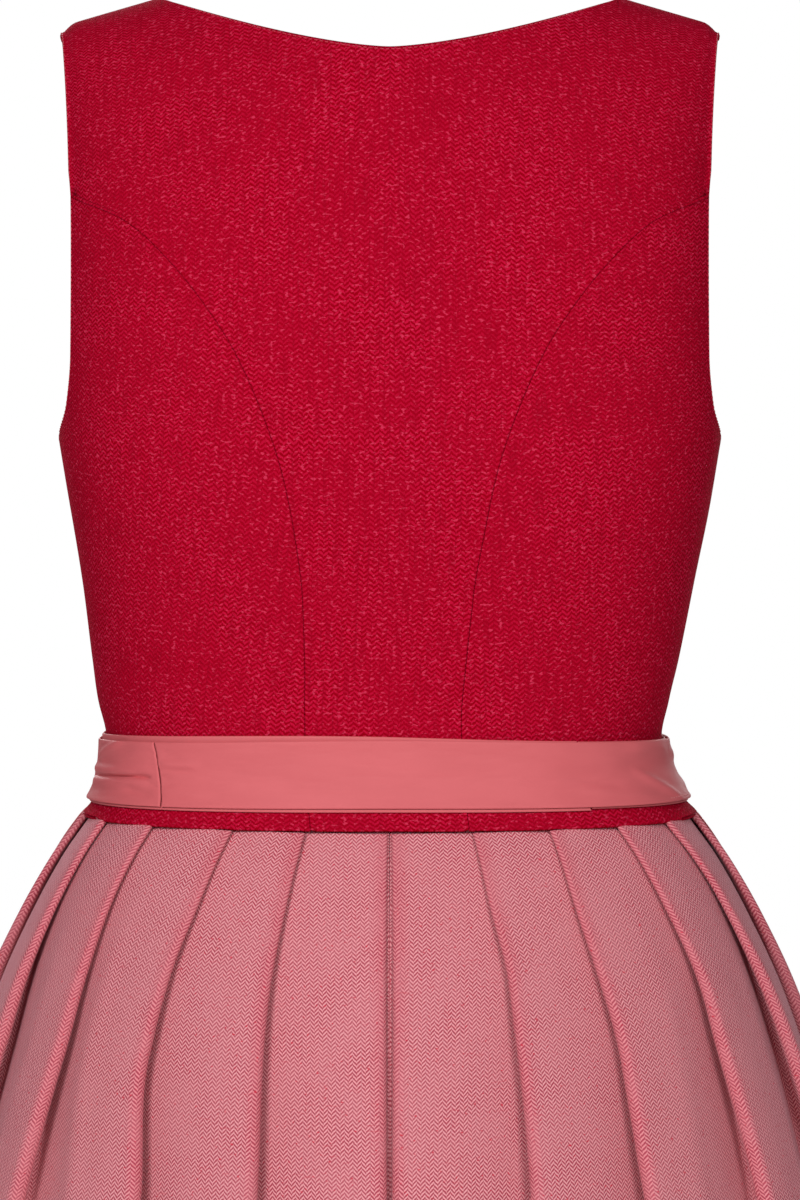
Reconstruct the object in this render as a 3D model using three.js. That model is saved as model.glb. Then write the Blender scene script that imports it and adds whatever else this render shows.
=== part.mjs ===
import * as THREE from "three";

// A sleeveless dirndl, filled out as if worn: bodice, pleated skirt and satin apron with its ties.
// Millimetres, +Z up. The garment's front faces -Y, its back +Y and the wearer's left +X.
// The origin lies midway between the shoulders, at the height where the straps rest on them.

// Cloth walls and the spaces between them
const SEAM_GAP = 0.3;
const BODICE_WALL = 1.6;
const SKIRT_WALL = 1.2;
const SATIN_WALL = 1.2;

// Distances from the middle at which the seam gaps are turned into angles. The back princess
// seams run slanting to the rings, so their gap is seen under a larger angle.
const BODICE_REACH = 100;
const BAND_REACH = 110;
const BACK_SEAM_SLANT = 1.4;

// Heights
const UNDERARM = -205;
const WAIST_SEAM = -380.5;
const WAIST_SEAM_DIP = 2;
const HEM = -1060;

// Outer outline from underarm to hem: half width, depth behind and before the side line,
// how square the ring is, and how far it stands over to the wearer's left
const OUTLINE = [
  { z: -205, half: 155, back: 107, front: 98, power: 2.6, shift: 0 },
  { z: -234, half: 150.3, back: 106, front: 102, power: 2.5, shift: 0 },
  { z: -271, half: 143.6, back: 101, front: 100, power: 2.45, shift: 0.7 },
  { z: -309, half: 137.5, back: 95.5, front: 96, power: 2.4, shift: 2.1 },
  { z: -328, half: 134, back: 93.5, front: 94.5, power: 2.35, shift: 3 },
  { z: -345, half: 130.5, back: 92.5, front: 94, power: 2.3, shift: 2.8 },
  { z: -356, half: 131.5, back: 93, front: 94.5, power: 2.3, shift: 2.3 },
  { z: -367, half: 134.8, back: 94.8, front: 96.5, power: 2.3, shift: 1.2 },
  { z: -374, half: 138.5, back: 97, front: 99, power: 2.3, shift: 0.6 },
  { z: -380.5, half: 144.5, back: 101, front: 103, power: 2.3, shift: 0 },
  { z: -390, half: 151.8, back: 107, front: 108.5, power: 2.3, shift: 0 },
  { z: -400, half: 158.9, back: 113, front: 114, power: 2.25, shift: 0 },
  { z: -428, half: 175, back: 127.5, front: 127.5, power: 2.2, shift: 0 },
  { z: -465, half: 192.3, back: 143.5, front: 141.5, power: 2.2, shift: 0 },
  { z: -550, half: 221, back: 172, front: 166, power: 2.15, shift: 0 },
  { z: -650, half: 249, back: 198, front: 190, power: 2.1, shift: 0 },
  { z: -800, half: 287, back: 233, front: 224, power: 2.1, shift: 0 },
  { z: -1060, half: 350, back: 295, front: 285, power: 2.05, shift: 0 },
];

// Shoulders: the ridge falls from the neck to a rounded outer corner
const SHOULDER_HALF = 159;
const SHOULDER_POWER = 2.8;
const NECK_HALF = 107;
const RIDGE_AT_NECK = 1;
const RIDGE_SLOPE = 0.288;
const CORNER_FROM = 146;
const CORNER_LENGTH = 10;
const CORNER_DROP = 8;
const BACK_FULLNESS = 2.3;
const FRONT_FULLNESS = 2;
const RIDGE_LEVEL = 2;
const SHOULDER_SEAM_LEVEL = 2.08;
const SHOULDER_SEAM_GAP = 0.01;

// Cups of the front
const CUP_OUT = 17;
const CUP_ENDS = 0.35;
const CUP_X = 76;
const CUP_Z = -240;
const CUP_WIDTH = 44;
const CUP_HEIGHT = 50;

// Necklines
const BACK_NECK_DEPTH = 24.3;
const BACK_NECK_HALF = 105;
const BACK_NECK_POWER = 1.5;
const BACK_NECK_TOP_LEVEL = 1.97;
const FRONT_NECK_LOW = -160;
const FRONT_NECK = [
  { z: FRONT_NECK_LOW, x: 0 },
  { z: -158, x: 38 },
  { z: -150, x: 60 },
  { z: -132, x: 76 },
  { z: -100, x: 88 },
  { z: -60, x: 96 },
  { z: 0, x: 107 },
];

// Princess seams: distance from the middle at each height
const BACK_PRINCESS = [
  { z: -383, x: 36 },
  { z: -337, x: 35.5 },
  { z: -275, x: 38.6 },
  { z: -245, x: 43 },
  { z: -218, x: 48.6 },
  { z: -193, x: 56.7 },
  { z: -163, x: 70 },
  { z: -140, x: 85 },
  { z: -120, x: 102 },
  { z: -104, x: 120.5 },
  { z: -92.5, x: 147.5 },
];
const FRONT_PRINCESS = [
  { z: -383, x: 44 },
  { z: -337, x: 46 },
  { z: -285, x: 60 },
  { z: -240, x: 76 },
  { z: -200, x: 88 },
  { z: -165, x: 106 },
  { z: -140, x: 122 },
  { z: -128, x: 136 },
];

// Armholes: angle of the edge round the ring, in degrees from the side line
const BACK_ARMHOLE = [
  { z: -205, angle: 0 },
  { z: -202, angle: 8 },
  { z: -188, angle: 15.5 },
  { z: -165, angle: 18 },
  { z: -92.5, angle: 19 },
  { z: -40, angle: 17 },
  { z: 0, angle: 15 },
];
const FRONT_ARMHOLE = [
  { z: -205, angle: 0 },
  { z: -202, angle: 8 },
  { z: -188, angle: 17 },
  { z: -165, angle: 22 },
  { z: -120, angle: 25 },
  { z: -60, angle: 22 },
  { z: 0, angle: 15 },
];
const TIP_ANGLE = 1.1;

// Heights of the rows of points in the bodice
const LOW_ROWS = [-380.5, -374, -367, -360, -352, -345, -338, -312, -280, -252, -228, -205];
const BACK_HIGH_ROWS = [-188, -165, -142, -122, -108, -98, -92.5];
const FRONT_HIGH_ROWS = [-188, -172, -160, -158, -150, -139, -128];
const FRONT_SIDE_COUNT = LOW_ROWS.length + FRONT_HIGH_ROWS.length;
const STRAP_ROWS = [-100, -65, -35];
const STRAP_TOP_LEVELS = [1.78, 2 * RIDGE_LEVEL - SHOULDER_SEAM_LEVEL];
const BACK_TOP_STEPS = 4;
const BACK_STRAP_COLUMNS = 2;
const BACK_NECK_COLUMNS = 4;
const BACK_CENTRE_COLUMNS = 2 * (BACK_STRAP_COLUMNS + BACK_NECK_COLUMNS);
const BACK_SIDE_COLUMNS = 5;
const FRONT_COLUMNS = 6;
const FRONT_SIDE_COLUMNS = 5;

// Lapped closing of the fronts, with its buttons
const LAP = 10;
const LAP_RAMP = 14;
const LAP_SINK = BODICE_WALL + 0.4;
const BUTTON_TOP = -176;
const BUTTON_BOTTOM = -332;
const BUTTON_RADIUS = 6.5;
const BUTTON_RIM = 1.4;
const BUTTON_DOME = 3.6;
const BUTTON_SEATS = [0.43, 1.45, 0.76, 1.02, 0.69, 0.54];
const BUTTON_SHOULDER = 0.7;
const BUTTON_SHOULDER_RISE = 0.75;
const BUTTON_SIDES = 12;

// Skirt: knife pleats in each half, their folds towards the centre back
const PLEATS_PER_HALF = 11;
const SIDE_SEAM_PLEAT = 5;
const PLEAT_CUT = 100;
const PLEAT_SETTINGS = [
  { z: -380, turn: 171.5, radius: 1.2, parting: 0.8 },
  { z: -400, turn: 171, radius: 1.25, parting: 1.5 },
  { z: -450, turn: 168, radius: 1.5, parting: 2.3 },
  { z: -550, turn: 162, radius: 2.3, parting: 2 },
  { z: -650, turn: 140, radius: 4, parting: 8 },
  { z: -820, turn: 95, radius: 8, parting: 22 },
  { z: -1060, turn: 52, radius: 14, parting: 38 },
];
const SKIRT_RINGS = [-380.8, -393, -416, -460, -545, -700, -870, -1060];
const FACE_STEPS = [0.26, 0.52, 0.77];
const SEAM_ON_FACE = 0.9;

// The middle of the centre back's underlay lies deepest and rises to its folds by this knee:
// how far along and how far up it is, and its slope as a share of a pleat's
const UNDERLAY_KNEE = { along: 0.45, up: 0.2, slope: 0.6 };

// Satin bands: heights of their edges at the sides, and how far they rise at the back
const BAND_LOW = -375.6;
const BAND_HIGH = -345.8;
const BAND_LOW_RISE = 3.6;
const BAND_HIGH_RISE = 6;
const INNER_TIE_ABOVE = 3;
const INNER_TIE_BELOW = 1.2;
const BAND_GAP = 0.7;
const LAYER_GAP = 0.65;
const BAND_STEPS = 4;
const BAND_ANGLE_STEP = 6;
const UNDER_LIFT = BAND_GAP;
const OVER_LIFT = BAND_GAP + SATIN_WALL + LAYER_GAP;

// Angles round the waist, in degrees: 0 at the wearer's left, 90 at the back, 270 at the front
const TIE_SEAM = 33;
const WAISTBAND_RIGHT_END = 140;
const BOW_ANGLE = -72;
const WAISTBAND_SINKS_FROM = -64;
const WAISTBAND_SINKS_TO = -78;
const OUTER_TIE_END = -79;
const INNER_TIE_END = -62;

// Apron panel
const APRON_EDGE_ANGLE = 14;
const APRON_WAVES = 15;
const APRON_POINTS_PER_WAVE = 4;
const APRON_TOP = -377;
const APRON_ROWS = [APRON_TOP, -384, -397, -425, -490, -610, -790, -1030];
const APRON_CLEAR = 2.7;
const APRON_DRIFTS = [
  { reach: 0.12, turns: 9, slant: 0 },
  { reach: 0.08, turns: 23, slant: 1 / 300 },
];
const APRON_WAVE = [
  { z: APRON_TOP, depth: 1.1 },
  { z: -400, depth: 2.2 },
  { z: -490, depth: 5 },
  { z: -700, depth: 9 },
  { z: -1060, depth: 15 },
];

// Bow, laid out along the waist at this distance from the middle
const BOW_REACH = 103;
const KNOT_HALF_WIDTH = 12;
const KNOT_HALF_HEIGHT = 15;
const KNOT_DEPTH = 11;
const KNOT_SQUARENESS = 0.55;
const LOOP_LENGTH = 62;
const LOOP_STEPS = 14;
const LOOP_BULGE = 17;
const LOOP_SEAT = 4.5;
const LOOP_THROAT = 4;
const LOOP_DROOP = 10;
const LOOP_WIDTH = 36;
const LOOP_PINCH = 15;
const LOOP_END_ROUNDNESS = 0.8;
const LOOP_BULGE_ROUNDNESS = 0.5;
const LOOP_WIDENING = 0.7;
const TAIL_LENGTH = 330;
const TAIL_STEPS = 10;
const TAIL_WIDTH = 38;
const TAIL_ASIDE = 5.2;
const TAIL_SPREAD = 52;
const TAIL_CUT = 14;
const TAIL_CLEAR = 1.4;
const TAIL_TOP_WIDTH = 9;
const TAIL_TOP_CLEAR = 5;
const TAIL_WIDENS_BY = 0.25;
const TAIL_WIDENING = 0.8;
const TAIL_SETTLES_BY = 0.2;
const TAIL_WAVE = 1.5;
const TAIL_WAVE_TURNS = 9;
const TAIL_TWIST = 0.8;
const TAIL_EDGES = [-1, -0.4, 0.4, 1];

const cloths = {
  bodice: new THREE.MeshStandardMaterial({ color: 0xb30f2e, roughness: 0.85, metalness: 0 }),
  skirt: new THREE.MeshStandardMaterial({ color: 0xd27b82, roughness: 0.9, metalness: 0 }),
  satin: new THREE.MeshStandardMaterial({ color: 0xdc7276, roughness: 0.45, metalness: 0 }),
  button: new THREE.MeshStandardMaterial({ color: 0x9c968c, roughness: 0.35, metalness: 1 }),
};

const rad = THREE.MathUtils.degToRad;
const mix = THREE.MathUtils.lerp;
const clamp = THREE.MathUtils.clamp;
const garment = new THREE.Group();

// A smooth curve through one column of a table, which never overshoots its rows
function columnCurve(rows, column) {
  const list = [...rows].sort((a, b) => a.z - b.z);
  const x = list.map((row) => row.z);
  const y = list.map((row) => row[column]);
  const last = x.length - 1;
  const slope = x.slice(1).map((value, i) => (y[i + 1] - y[i]) / (value - x[i]));
  const tangent = x.map((_, i) => {
    if (i === 0) return slope[0];
    if (i === last) return slope[last - 1];
    const [before, after] = [slope[i - 1], slope[i]];
    return before * after <= 0 ? 0 : (2 * before * after) / (before + after);
  });
  return (at) => {
    const value = clamp(at, x[0], x[last]);
    let i = 0;
    while (i < last - 1 && value > x[i + 1]) i += 1;
    const step = x[i + 1] - x[i];
    const t = (value - x[i]) / step;
    const rise = t * t * (3 - 2 * t);
    const lead = tangent[i] * t * (1 - t) ** 2 - tangent[i + 1] * t * t * (1 - t);
    return mix(y[i], y[i + 1], rise) + step * lead;
  };
}

const outline = Object.fromEntries(
  ["half", "back", "front", "power", "shift"].map((name) => [name, columnCurve(OUTLINE, name)]),
);
const backPrincess = columnCurve(BACK_PRINCESS, "x");
const frontPrincess = columnCurve(FRONT_PRINCESS, "x");
const backArmhole = columnCurve(BACK_ARMHOLE, "angle");
const frontArmhole = columnCurve(FRONT_ARMHOLE, "angle");
const frontNeck = columnCurve(FRONT_NECK, "x");
const apronWave = columnCurve(APRON_WAVE, "depth");

// Size of the ring at one height
function sectionAt(z) {
  const size = {};
  for (const name of Object.keys(outline)) size[name] = outline[name](z);
  return size;
}

// A point of a ring in the direction theta from the middle
function ringSpot(theta, size) {
  const c = Math.cos(theta);
  const s = Math.sin(theta);
  const depth = s >= 0 ? size.back : size.front;
  const sum = Math.abs(c / size.half) ** size.power + Math.abs(s / depth) ** size.power;
  const reach = sum ** (-1 / size.power);
  return new THREE.Vector2(reach * c, reach * s);
}

function seamHeight(theta) {
  return WAIST_SEAM - WAIST_SEAM_DIP * Math.sin(theta) ** 2;
}

function ridgeHeight(x) {
  const out = Math.max(0, Math.abs(x) - CORNER_FROM) / CORNER_LENGTH;
  return RIDGE_AT_NECK - RIDGE_SLOPE * (Math.abs(x) - NECK_HALF) - CORNER_DROP * out * out;
}

function shoulderSection(rise) {
  const size = sectionAt(UNDERARM);
  size.half = mix(size.half, SHOULDER_HALF, rise);
  size.power = mix(size.power, SHOULDER_POWER, rise);
  const middle = (size.back + size.front) / 2;
  size.back = mix(size.back, middle, rise);
  size.front = mix(size.front, middle, rise);
  return size;
}

function cupDepth(x, z) {
  const across = (Math.abs(x) - CUP_X) / CUP_WIDTH;
  const along = (z - CUP_Z) / CUP_HEIGHT;
  return CUP_OUT * Math.exp(-across * across - along * along);
}

// The bodice's outer surface. Level 0 is the waist seam, 1 the underarm and 2 the shoulder ridge;
// past the ridge it runs down the other side.
function bodiceSurface(theta, level) {
  if (level > RIDGE_LEVEL) return bodiceSurface(-theta, 2 * RIDGE_LEVEL - level);
  const behind = Math.sin(theta) >= 0;
  const point = new THREE.Vector3();
  if (level <= 1) {
    point.z = mix(seamHeight(theta), UNDERARM, level);
    const size = sectionAt(point.z);
    const spot = ringSpot(theta, size);
    point.x = spot.x + size.shift;
    point.y = spot.y;
  } else {
    const fullness = behind ? BACK_FULLNESS : FRONT_FULLNESS;
    const spot = ringSpot(theta, shoulderSection(level - 1));
    const lean = (level - 1) * Math.PI * 0.5;
    const near = Math.max(Math.cos(lean), 0) ** (2 / fullness);
    const up = Math.sin(lean) ** (2 / fullness);
    point.x = spot.x;
    point.y = spot.y * near;
    point.z = mix(UNDERARM, ridgeHeight(spot.x), up);
  }
  if (!behind) {
    const fromSide = THREE.MathUtils.smoothstep(-Math.sin(theta), 0, CUP_ENDS);
    point.y -= cupDepth(point.x, point.z) * Math.min(1, RIDGE_LEVEL - level) * fromSide;
  }
  return point;
}

// The level at which the surface reaches height z in the direction theta
function levelOf(theta, z) {
  if (z <= UNDERARM) return (z - WAIST_SEAM) / (UNDERARM - WAIST_SEAM);
  const fullness = Math.sin(theta) >= 0 ? BACK_FULLNESS : FRONT_FULLNESS;
  let rise = 0.5;
  for (let pass = 0; pass < 4; pass += 1) {
    const { x } = ringSpot(theta, shoulderSection(rise));
    const up = clamp((z - UNDERARM) / (ridgeHeight(x) - UNDERARM), 0, 1);
    rise = Math.asin(up ** (fullness / 2)) / (Math.PI * 0.5);
  }
  return 1 + rise;
}

// The direction of a point x from the middle, at height z, behind (1) or before (-1) the side line
function thetaOf(x, z, side) {
  const size = z <= UNDERARM ? sectionAt(z) : shoulderSection((z - UNDERARM) / -UNDERARM);
  const depth = side > 0 ? size.back : size.front;
  const share = clamp(Math.abs(x) / size.half, 0, 1);
  return Math.atan2(side * depth * (1 - share ** size.power) ** (1 / size.power), x);
}

function bodicePoint(theta, level, lift) {
  const step = 1e-3;
  const across = bodiceSurface(theta + step, level).sub(bodiceSurface(theta - step, level));
  const along = bodiceSurface(theta, level + step).sub(bodiceSurface(theta, level - step));
  const outward = across.cross(along);
  if (level < step) outward.z = 0;
  outward.normalize();
  return bodiceSurface(theta, level).addScaledVector(outward, lift);
}

// A closed wall from a grid of point pairs, one row of pairs after another
function wallGeometry(grid) {
  const rows = grid.length;
  const columns = grid[0].length;
  const count = rows * columns;
  const positions = [];
  for (const side of ["outer", "inner"]) {
    for (const row of grid) {
      for (const pair of row) positions.push(pair[side].x, pair[side].y, pair[side].z);
    }
  }
  const index = [];
  const quad = (a, b, c, d) => index.push(a, b, c, a, c, d);
  const at = (i, j) => i * columns + j;
  for (let i = 0; i + 1 < rows; i += 1) {
    for (let j = 0; j + 1 < columns; j += 1) {
      const corners = [at(i, j), at(i, j + 1), at(i + 1, j + 1), at(i + 1, j)];
      quad(...corners);
      // The inner face starts at the same corner, so that both are folded on the same diagonal
      quad(...[corners[0], corners[3], corners[2], corners[1]].map((corner) => corner + count));
    }
  }
  const rim = [];
  for (let j = 0; j + 1 < columns; j += 1) rim.push([at(0, j), at(0, j + 1)]);
  for (let i = 0; i + 1 < rows; i += 1) rim.push([at(i, columns - 1), at(i + 1, columns - 1)]);
  for (let j = columns - 1; j > 0; j -= 1) rim.push([at(rows - 1, j), at(rows - 1, j - 1)]);
  for (let i = rows - 1; i > 0; i -= 1) rim.push([at(i, 0), at(i - 1, 0)]);
  for (const [from, to] of rim) quad(from, from + count, to + count, to);
  return closedGeometry(positions, index);
}

// Turns the faces outwards where they point in
function closedGeometry(positions, index) {
  const corner = (i) => new THREE.Vector3().fromArray(positions, index[i] * 3);
  let volume = 0;
  for (let i = 0; i < index.length; i += 3) {
    volume += corner(i).dot(corner(i + 1).cross(corner(i + 2)));
  }
  if (volume < 0) index.reverse();
  const geometry = new THREE.BufferGeometry();
  geometry.setAttribute("position", new THREE.Float32BufferAttribute(positions, 3));
  geometry.setIndex(index);
  geometry.computeVertexNormals();
  return geometry;
}

function addPiece(name, geometry, material) {
  const mesh = new THREE.Mesh(geometry, material.clone());
  mesh.name = name;
  garment.add(mesh);
  return mesh;
}

function mirrored(grid) {
  const flip = (point) => new THREE.Vector3(-point.x, point.y, point.z);
  return grid.map((row) => row.map((pair) => ({ outer: flip(pair.outer), inner: flip(pair.inner) })));
}

// Bodice panels: each row of points runs between two edges, given as directions
// on the wearer's left, and the same panel on the right has them mirrored
function bodiceGrid(rowCount, columnCount, place, { onRight = false, liftAt = () => 0 } = {}) {
  const grid = [];
  for (let i = 0; i < rowCount; i += 1) {
    const row = [];
    for (let j = 0; j <= columnCount; j += 1) {
      const { theta: angle, level } = place(i, j / columnCount);
      const theta = onRight ? Math.PI - angle : angle;
      const lift = liftAt(theta, level);
      const outer = bodicePoint(theta, level, lift);
      const inner = bodicePoint(theta, level, lift - BODICE_WALL);
      row.push({ outer, inner });
    }
    grid.push(row);
  }
  return grid;
}

// The half seam gap as an angle, seen from the middle of the ring
const HALF_GAP_ANGLE = SEAM_GAP / 2 / BODICE_REACH;
const BACK_SEAM_ANGLE = HALF_GAP_ANGLE * BACK_SEAM_SLANT;

function backCentre() {
  const rows = [...LOW_ROWS, ...BACK_HIGH_ROWS];
  const split = rows.length - 1;
  const edge = (z) => thetaOf(backPrincess(z), z, 1) + BACK_SEAM_ANGLE;
  const neck = thetaOf(NECK_HALF, 0, 1);
  const neckAt = BACK_STRAP_COLUMNS / BACK_CENTRE_COLUMNS;
  // Strap columns up to the neck point, then the neckline's, and the same on the other side
  const strapSpread = (side, u) => {
    if (u > 0.5) return Math.PI - strapSpread(side, 1 - u);
    if (u <= neckAt) return mix(side, neck, u / neckAt);
    return mix(neck, Math.PI / 2, (u - neckAt) / (0.5 - neckAt));
  };
  const place = (i, u) => {
    if (i <= split) {
      const theta = mix(edge(rows[i]), Math.PI - edge(rows[i]), u);
      return { theta, level: levelOf(theta, rows[i]) };
    }
    const share = (i - split) / BACK_TOP_STEPS;
    const side = rad(backArmhole(mix(rows[split], 0, share)));
    const theta = strapSpread(side, u);
    return { theta, level: mix(levelOf(theta, rows[split]), backTopLevel(theta), share) };
  };
  return bodiceGrid(rows.length + BACK_TOP_STEPS, BACK_CENTRE_COLUMNS, place);
}

// Where the back panel ends above: the neckline, or the seam just over the shoulder ridge
function backTopLevel(theta) {
  const { x } = ringSpot(theta, shoulderSection(1));
  if (Math.abs(x) > BACK_NECK_HALF) return SHOULDER_SEAM_LEVEL - SHOULDER_SEAM_GAP;
  const share = Math.min(1, Math.abs(x) / BACK_NECK_HALF) ** BACK_NECK_POWER;
  return Math.min(BACK_NECK_TOP_LEVEL, levelOf(theta, -BACK_NECK_DEPTH * (1 - share)));
}

function backSide(onRight) {
  const rows = [...LOW_ROWS, ...BACK_HIGH_ROWS];
  const place = (i, u) => {
    const z = rows[i];
    const seam = thetaOf(backPrincess(z), z, 1) - BACK_SEAM_ANGLE;
    let outer = z <= UNDERARM ? HALF_GAP_ANGLE : rad(backArmhole(z));
    if (i === rows.length - 1) outer = seam - rad(TIP_ANGLE);
    const theta = mix(outer, seam, u);
    return { theta, level: levelOf(theta, z) };
  };
  return bodiceGrid(rows.length, BACK_SIDE_COLUMNS, place, { onRight });
}

function frontSide(onRight) {
  const rows = [...LOW_ROWS, ...FRONT_HIGH_ROWS];
  const place = (i, u) => {
    const z = rows[i];
    const seam = thetaOf(frontPrincess(z), z, -1) + HALF_GAP_ANGLE;
    let outer = z <= UNDERARM ? -HALF_GAP_ANGLE : -rad(frontArmhole(z));
    if (i === rows.length - 1) outer = seam + rad(TIP_ANGLE);
    const theta = mix(seam, outer, u);
    return { theta, level: levelOf(theta, z) };
  };
  return bodiceGrid(rows.length, FRONT_SIDE_COLUMNS, place, { onRight });
}

// One front with its strap. It reaches past the middle by the lap.
function front(onRight) {
  const rows = [...LOW_ROWS, ...FRONT_HIGH_ROWS, ...STRAP_ROWS];
  const total = rows.length + STRAP_TOP_LEVELS.length;
  const place = (i, u) => {
    const levelled = i >= rows.length;
    const z = levelled ? 0 : rows[i];
    const outer = i < FRONT_SIDE_COUNT ? thetaOf(frontPrincess(z), z, -1) : -rad(frontArmhole(z));
    const shrink = i < FRONT_SIDE_COUNT ? HALF_GAP_ANGLE : 0;
    const inner = z > FRONT_NECK_LOW ? [frontNeck(z)] : [-LAP, LAP, LAP + LAP_RAMP];
    const column = Math.round(u * FRONT_COLUMNS);
    const past = column - inner.length + 1;
    const from = thetaOf(inner.at(Math.min(0, past) - 1), z, -1);
    const theta = mix(from, outer - shrink, Math.max(0, past) / (FRONT_COLUMNS - inner.length + 1));
    return { theta, level: levelled ? STRAP_TOP_LEVELS[i - rows.length] : levelOf(theta, z) };
  };
  const liftAt = onRight ? () => 0 : lapLift;
  return bodiceGrid(total, FRONT_COLUMNS, place, { onRight, liftAt });
}

// The left front sinks in beside the middle, where the right one lies over it
function lapLift(theta, level) {
  const { x } = bodiceSurface(theta, level);
  const share = clamp((LAP + LAP_RAMP - x) / LAP_RAMP, 0, 1);
  return -LAP_SINK * share * share * (3 - 2 * share);
}

function buttons() {
  const profile = [new THREE.Vector2(0, 0), new THREE.Vector2(BUTTON_RADIUS, 0)];
  profile.push(new THREE.Vector2(BUTTON_RADIUS, BUTTON_RIM));
  const shoulder = mix(BUTTON_RIM, BUTTON_DOME, BUTTON_SHOULDER_RISE);
  profile.push(new THREE.Vector2(BUTTON_RADIUS * BUTTON_SHOULDER, shoulder));
  profile.push(new THREE.Vector2(0, BUTTON_DOME));
  for (const [i, seat] of BUTTON_SEATS.entries()) {
    const z = mix(BUTTON_TOP, BUTTON_BOTTOM, i / (BUTTON_SEATS.length - 1));
    const theta = thetaOf(0, z, -1);
    const level = levelOf(theta, z);
    const foot = bodicePoint(theta, level, seat);
    const outward = bodicePoint(theta, level, 1).sub(bodicePoint(theta, level, 0));
    const geometry = new THREE.LatheGeometry(profile, BUTTON_SIDES);
    const mesh = addPiece(`button_${i + 1}`, geometry, cloths.button);
    mesh.position.copy(foot);
    mesh.quaternion.setFromUnitVectors(new THREE.Vector3(0, 1, 0), outward.normalize());
  }
}

// A ring of the outline as a function of the way along it, from the centre back by the left side
function ringRoad(size) {
  const steps = 720;
  const spots = [];
  const lengths = [0];
  for (let i = 0; i <= steps; i += 1) {
    spots.push(ringSpot(Math.PI * (0.5 - i / steps), size));
    if (i > 0) lengths.push(lengths[i - 1] + spots[i].distanceTo(spots[i - 1]));
  }
  const find = (s) => {
    const goal = clamp(s, 0, lengths[steps]);
    let low = 0;
    let high = steps;
    while (high - low > 1) {
      const middle = (low + high) >> 1;
      if (lengths[middle] <= goal) low = middle;
      else high = middle;
    }
    return low + (goal - lengths[low]) / (lengths[high] - lengths[low]);
  };
  return {
    length: lengths[steps],
    spot(s, out) {
      const theta = Math.PI * (0.5 - find(s) / steps);
      const here = ringSpot(theta, size);
      const ahead = ringSpot(theta - 2e-3, size).sub(ringSpot(theta + 2e-3, size)).normalize();
      return { x: here.x - ahead.y * out, y: here.y + ahead.x * out, theta };
    },
  };
}

// One pleat as face, turn, return and turn: finds the face's slope that closes the pitch
function pleatShape(pitch, turn, radius) {
  const measure = (slope) => {
    const bend = 2 * radius * (turn - slope);
    const lift = 2 * radius * (Math.cos(slope) - Math.cos(turn));
    const under = -((PLEAT_CUT - bend) * Math.sin(slope) + lift) / (Math.sin(turn) - Math.sin(slope));
    const face = PLEAT_CUT - bend - under;
    const along = face * Math.cos(slope) + under * Math.cos(turn);
    return { slope, face, under, pitch: along + 2 * radius * (Math.sin(turn) - Math.sin(slope)) };
  };
  let [steep, flat] = [-1.2, -0.001];
  for (let pass = 0; pass < 60; pass += 1) {
    const middle = (steep + flat) / 2;
    const trial = measure(middle);
    if (trial.pitch < pitch) steep = middle;
    else flat = middle;
  }
  return measure((steep + flat) / 2);
}

// Follows a cloth's section: s along the outline, r outward from it, heading in radians
class Pen {
  constructor(s, heading, radius) {
    Object.assign(this, { s, r: 0, heading, radius, marks: [] });
  }
  mark(note = "") {
    this.marks.push({ s: this.s, r: this.r, heading: this.heading, note });
  }
  go(distance) {
    this.s += distance * Math.cos(this.heading);
    this.r += distance * Math.sin(this.heading);
  }
  bend(to) {
    const sense = Math.sign(to - this.heading) * this.radius;
    this.s += sense * (Math.sin(to) - Math.sin(this.heading));
    this.r -= sense * (Math.cos(to) - Math.cos(this.heading));
    this.heading = to;
  }
  // From the end of a face, round the hidden fold and back to the middle of the next visible one
  underFold(turn, under) {
    const middle = (turn + this.heading) / 2;
    this.mark();
    this.bend(middle);
    this.mark();
    this.bend(turn);
    this.mark();
    this.go(under / 2);
    this.mark();
    this.go(under / 2);
    this.mark();
    this.bend(middle);
  }
  face(length, seam) {
    let done = 0;
    for (const share of FACE_STEPS) {
      this.go((share - done) * length);
      this.mark();
      done = share;
    }
    if (seam) {
      this.go((SEAM_ON_FACE - done) * length - SEAM_GAP / 2);
      this.mark("seam");
      this.go(SEAM_GAP);
      this.mark();
      done = SEAM_ON_FACE + SEAM_GAP / 2 / length;
    }
    this.go((1 - done) * length);
  }
}

// The underlay of the inverted pleat at the centre back, level in the middle, and its hidden fold
function centreUnderlay(shape, turn, radius, parting) {
  const pen = new Pen(0, shape.slope, radius);
  pen.underFold(turn, shape.under);
  const fold = pen.marks.map((mark) => ({ ...mark, s: mark.s - pen.s + parting, r: mark.r - pen.r }));
  const knee = fold[0].s * UNDERLAY_KNEE.along;
  const depth = fold[0].r - (fold[0].s - knee) * Math.tan(shape.slope);
  const heading = shape.slope * UNDERLAY_KNEE.slope;
  const eased = { s: knee, r: mix(depth, fold[0].r, UNDERLAY_KNEE.up), heading };
  return [{ s: SEAM_GAP / 2, r: depth, heading: 0 }, eased, ...fold];
}

// The skirt's half section at one height, from the centre back to the centre front
function pleatRow(length, z) {
  const turn = rad(pleatTurn(z));
  const radius = pleatRadius(z);
  const parting = pleatParting(z) + SKIRT_WALL / 2;
  const shape = pleatShape((length - parting) / PLEATS_PER_HALF, turn, radius);
  const pen = new Pen(parting, (turn + shape.slope) / 2, radius);
  for (let k = 0; k < PLEATS_PER_HALF; k += 1) {
    const last = k === PLEATS_PER_HALF - 1;
    pen.mark();
    pen.bend(last ? 0 : shape.slope);
    pen.mark();
    pen.face(last ? length - SEAM_GAP / 2 - pen.s : shape.face, k === SIDE_SEAM_PLEAT);
    if (last) pen.mark();
    else pen.underFold(turn, shape.under);
  }
  return [...centreUnderlay(shape, turn, radius, parting), ...pen.marks];
}

const pleatTurn = columnCurve(PLEAT_SETTINGS, "turn");
const pleatRadius = columnCurve(PLEAT_SETTINGS, "radius");
const pleatParting = columnCurve(PLEAT_SETTINGS, "parting");

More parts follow.
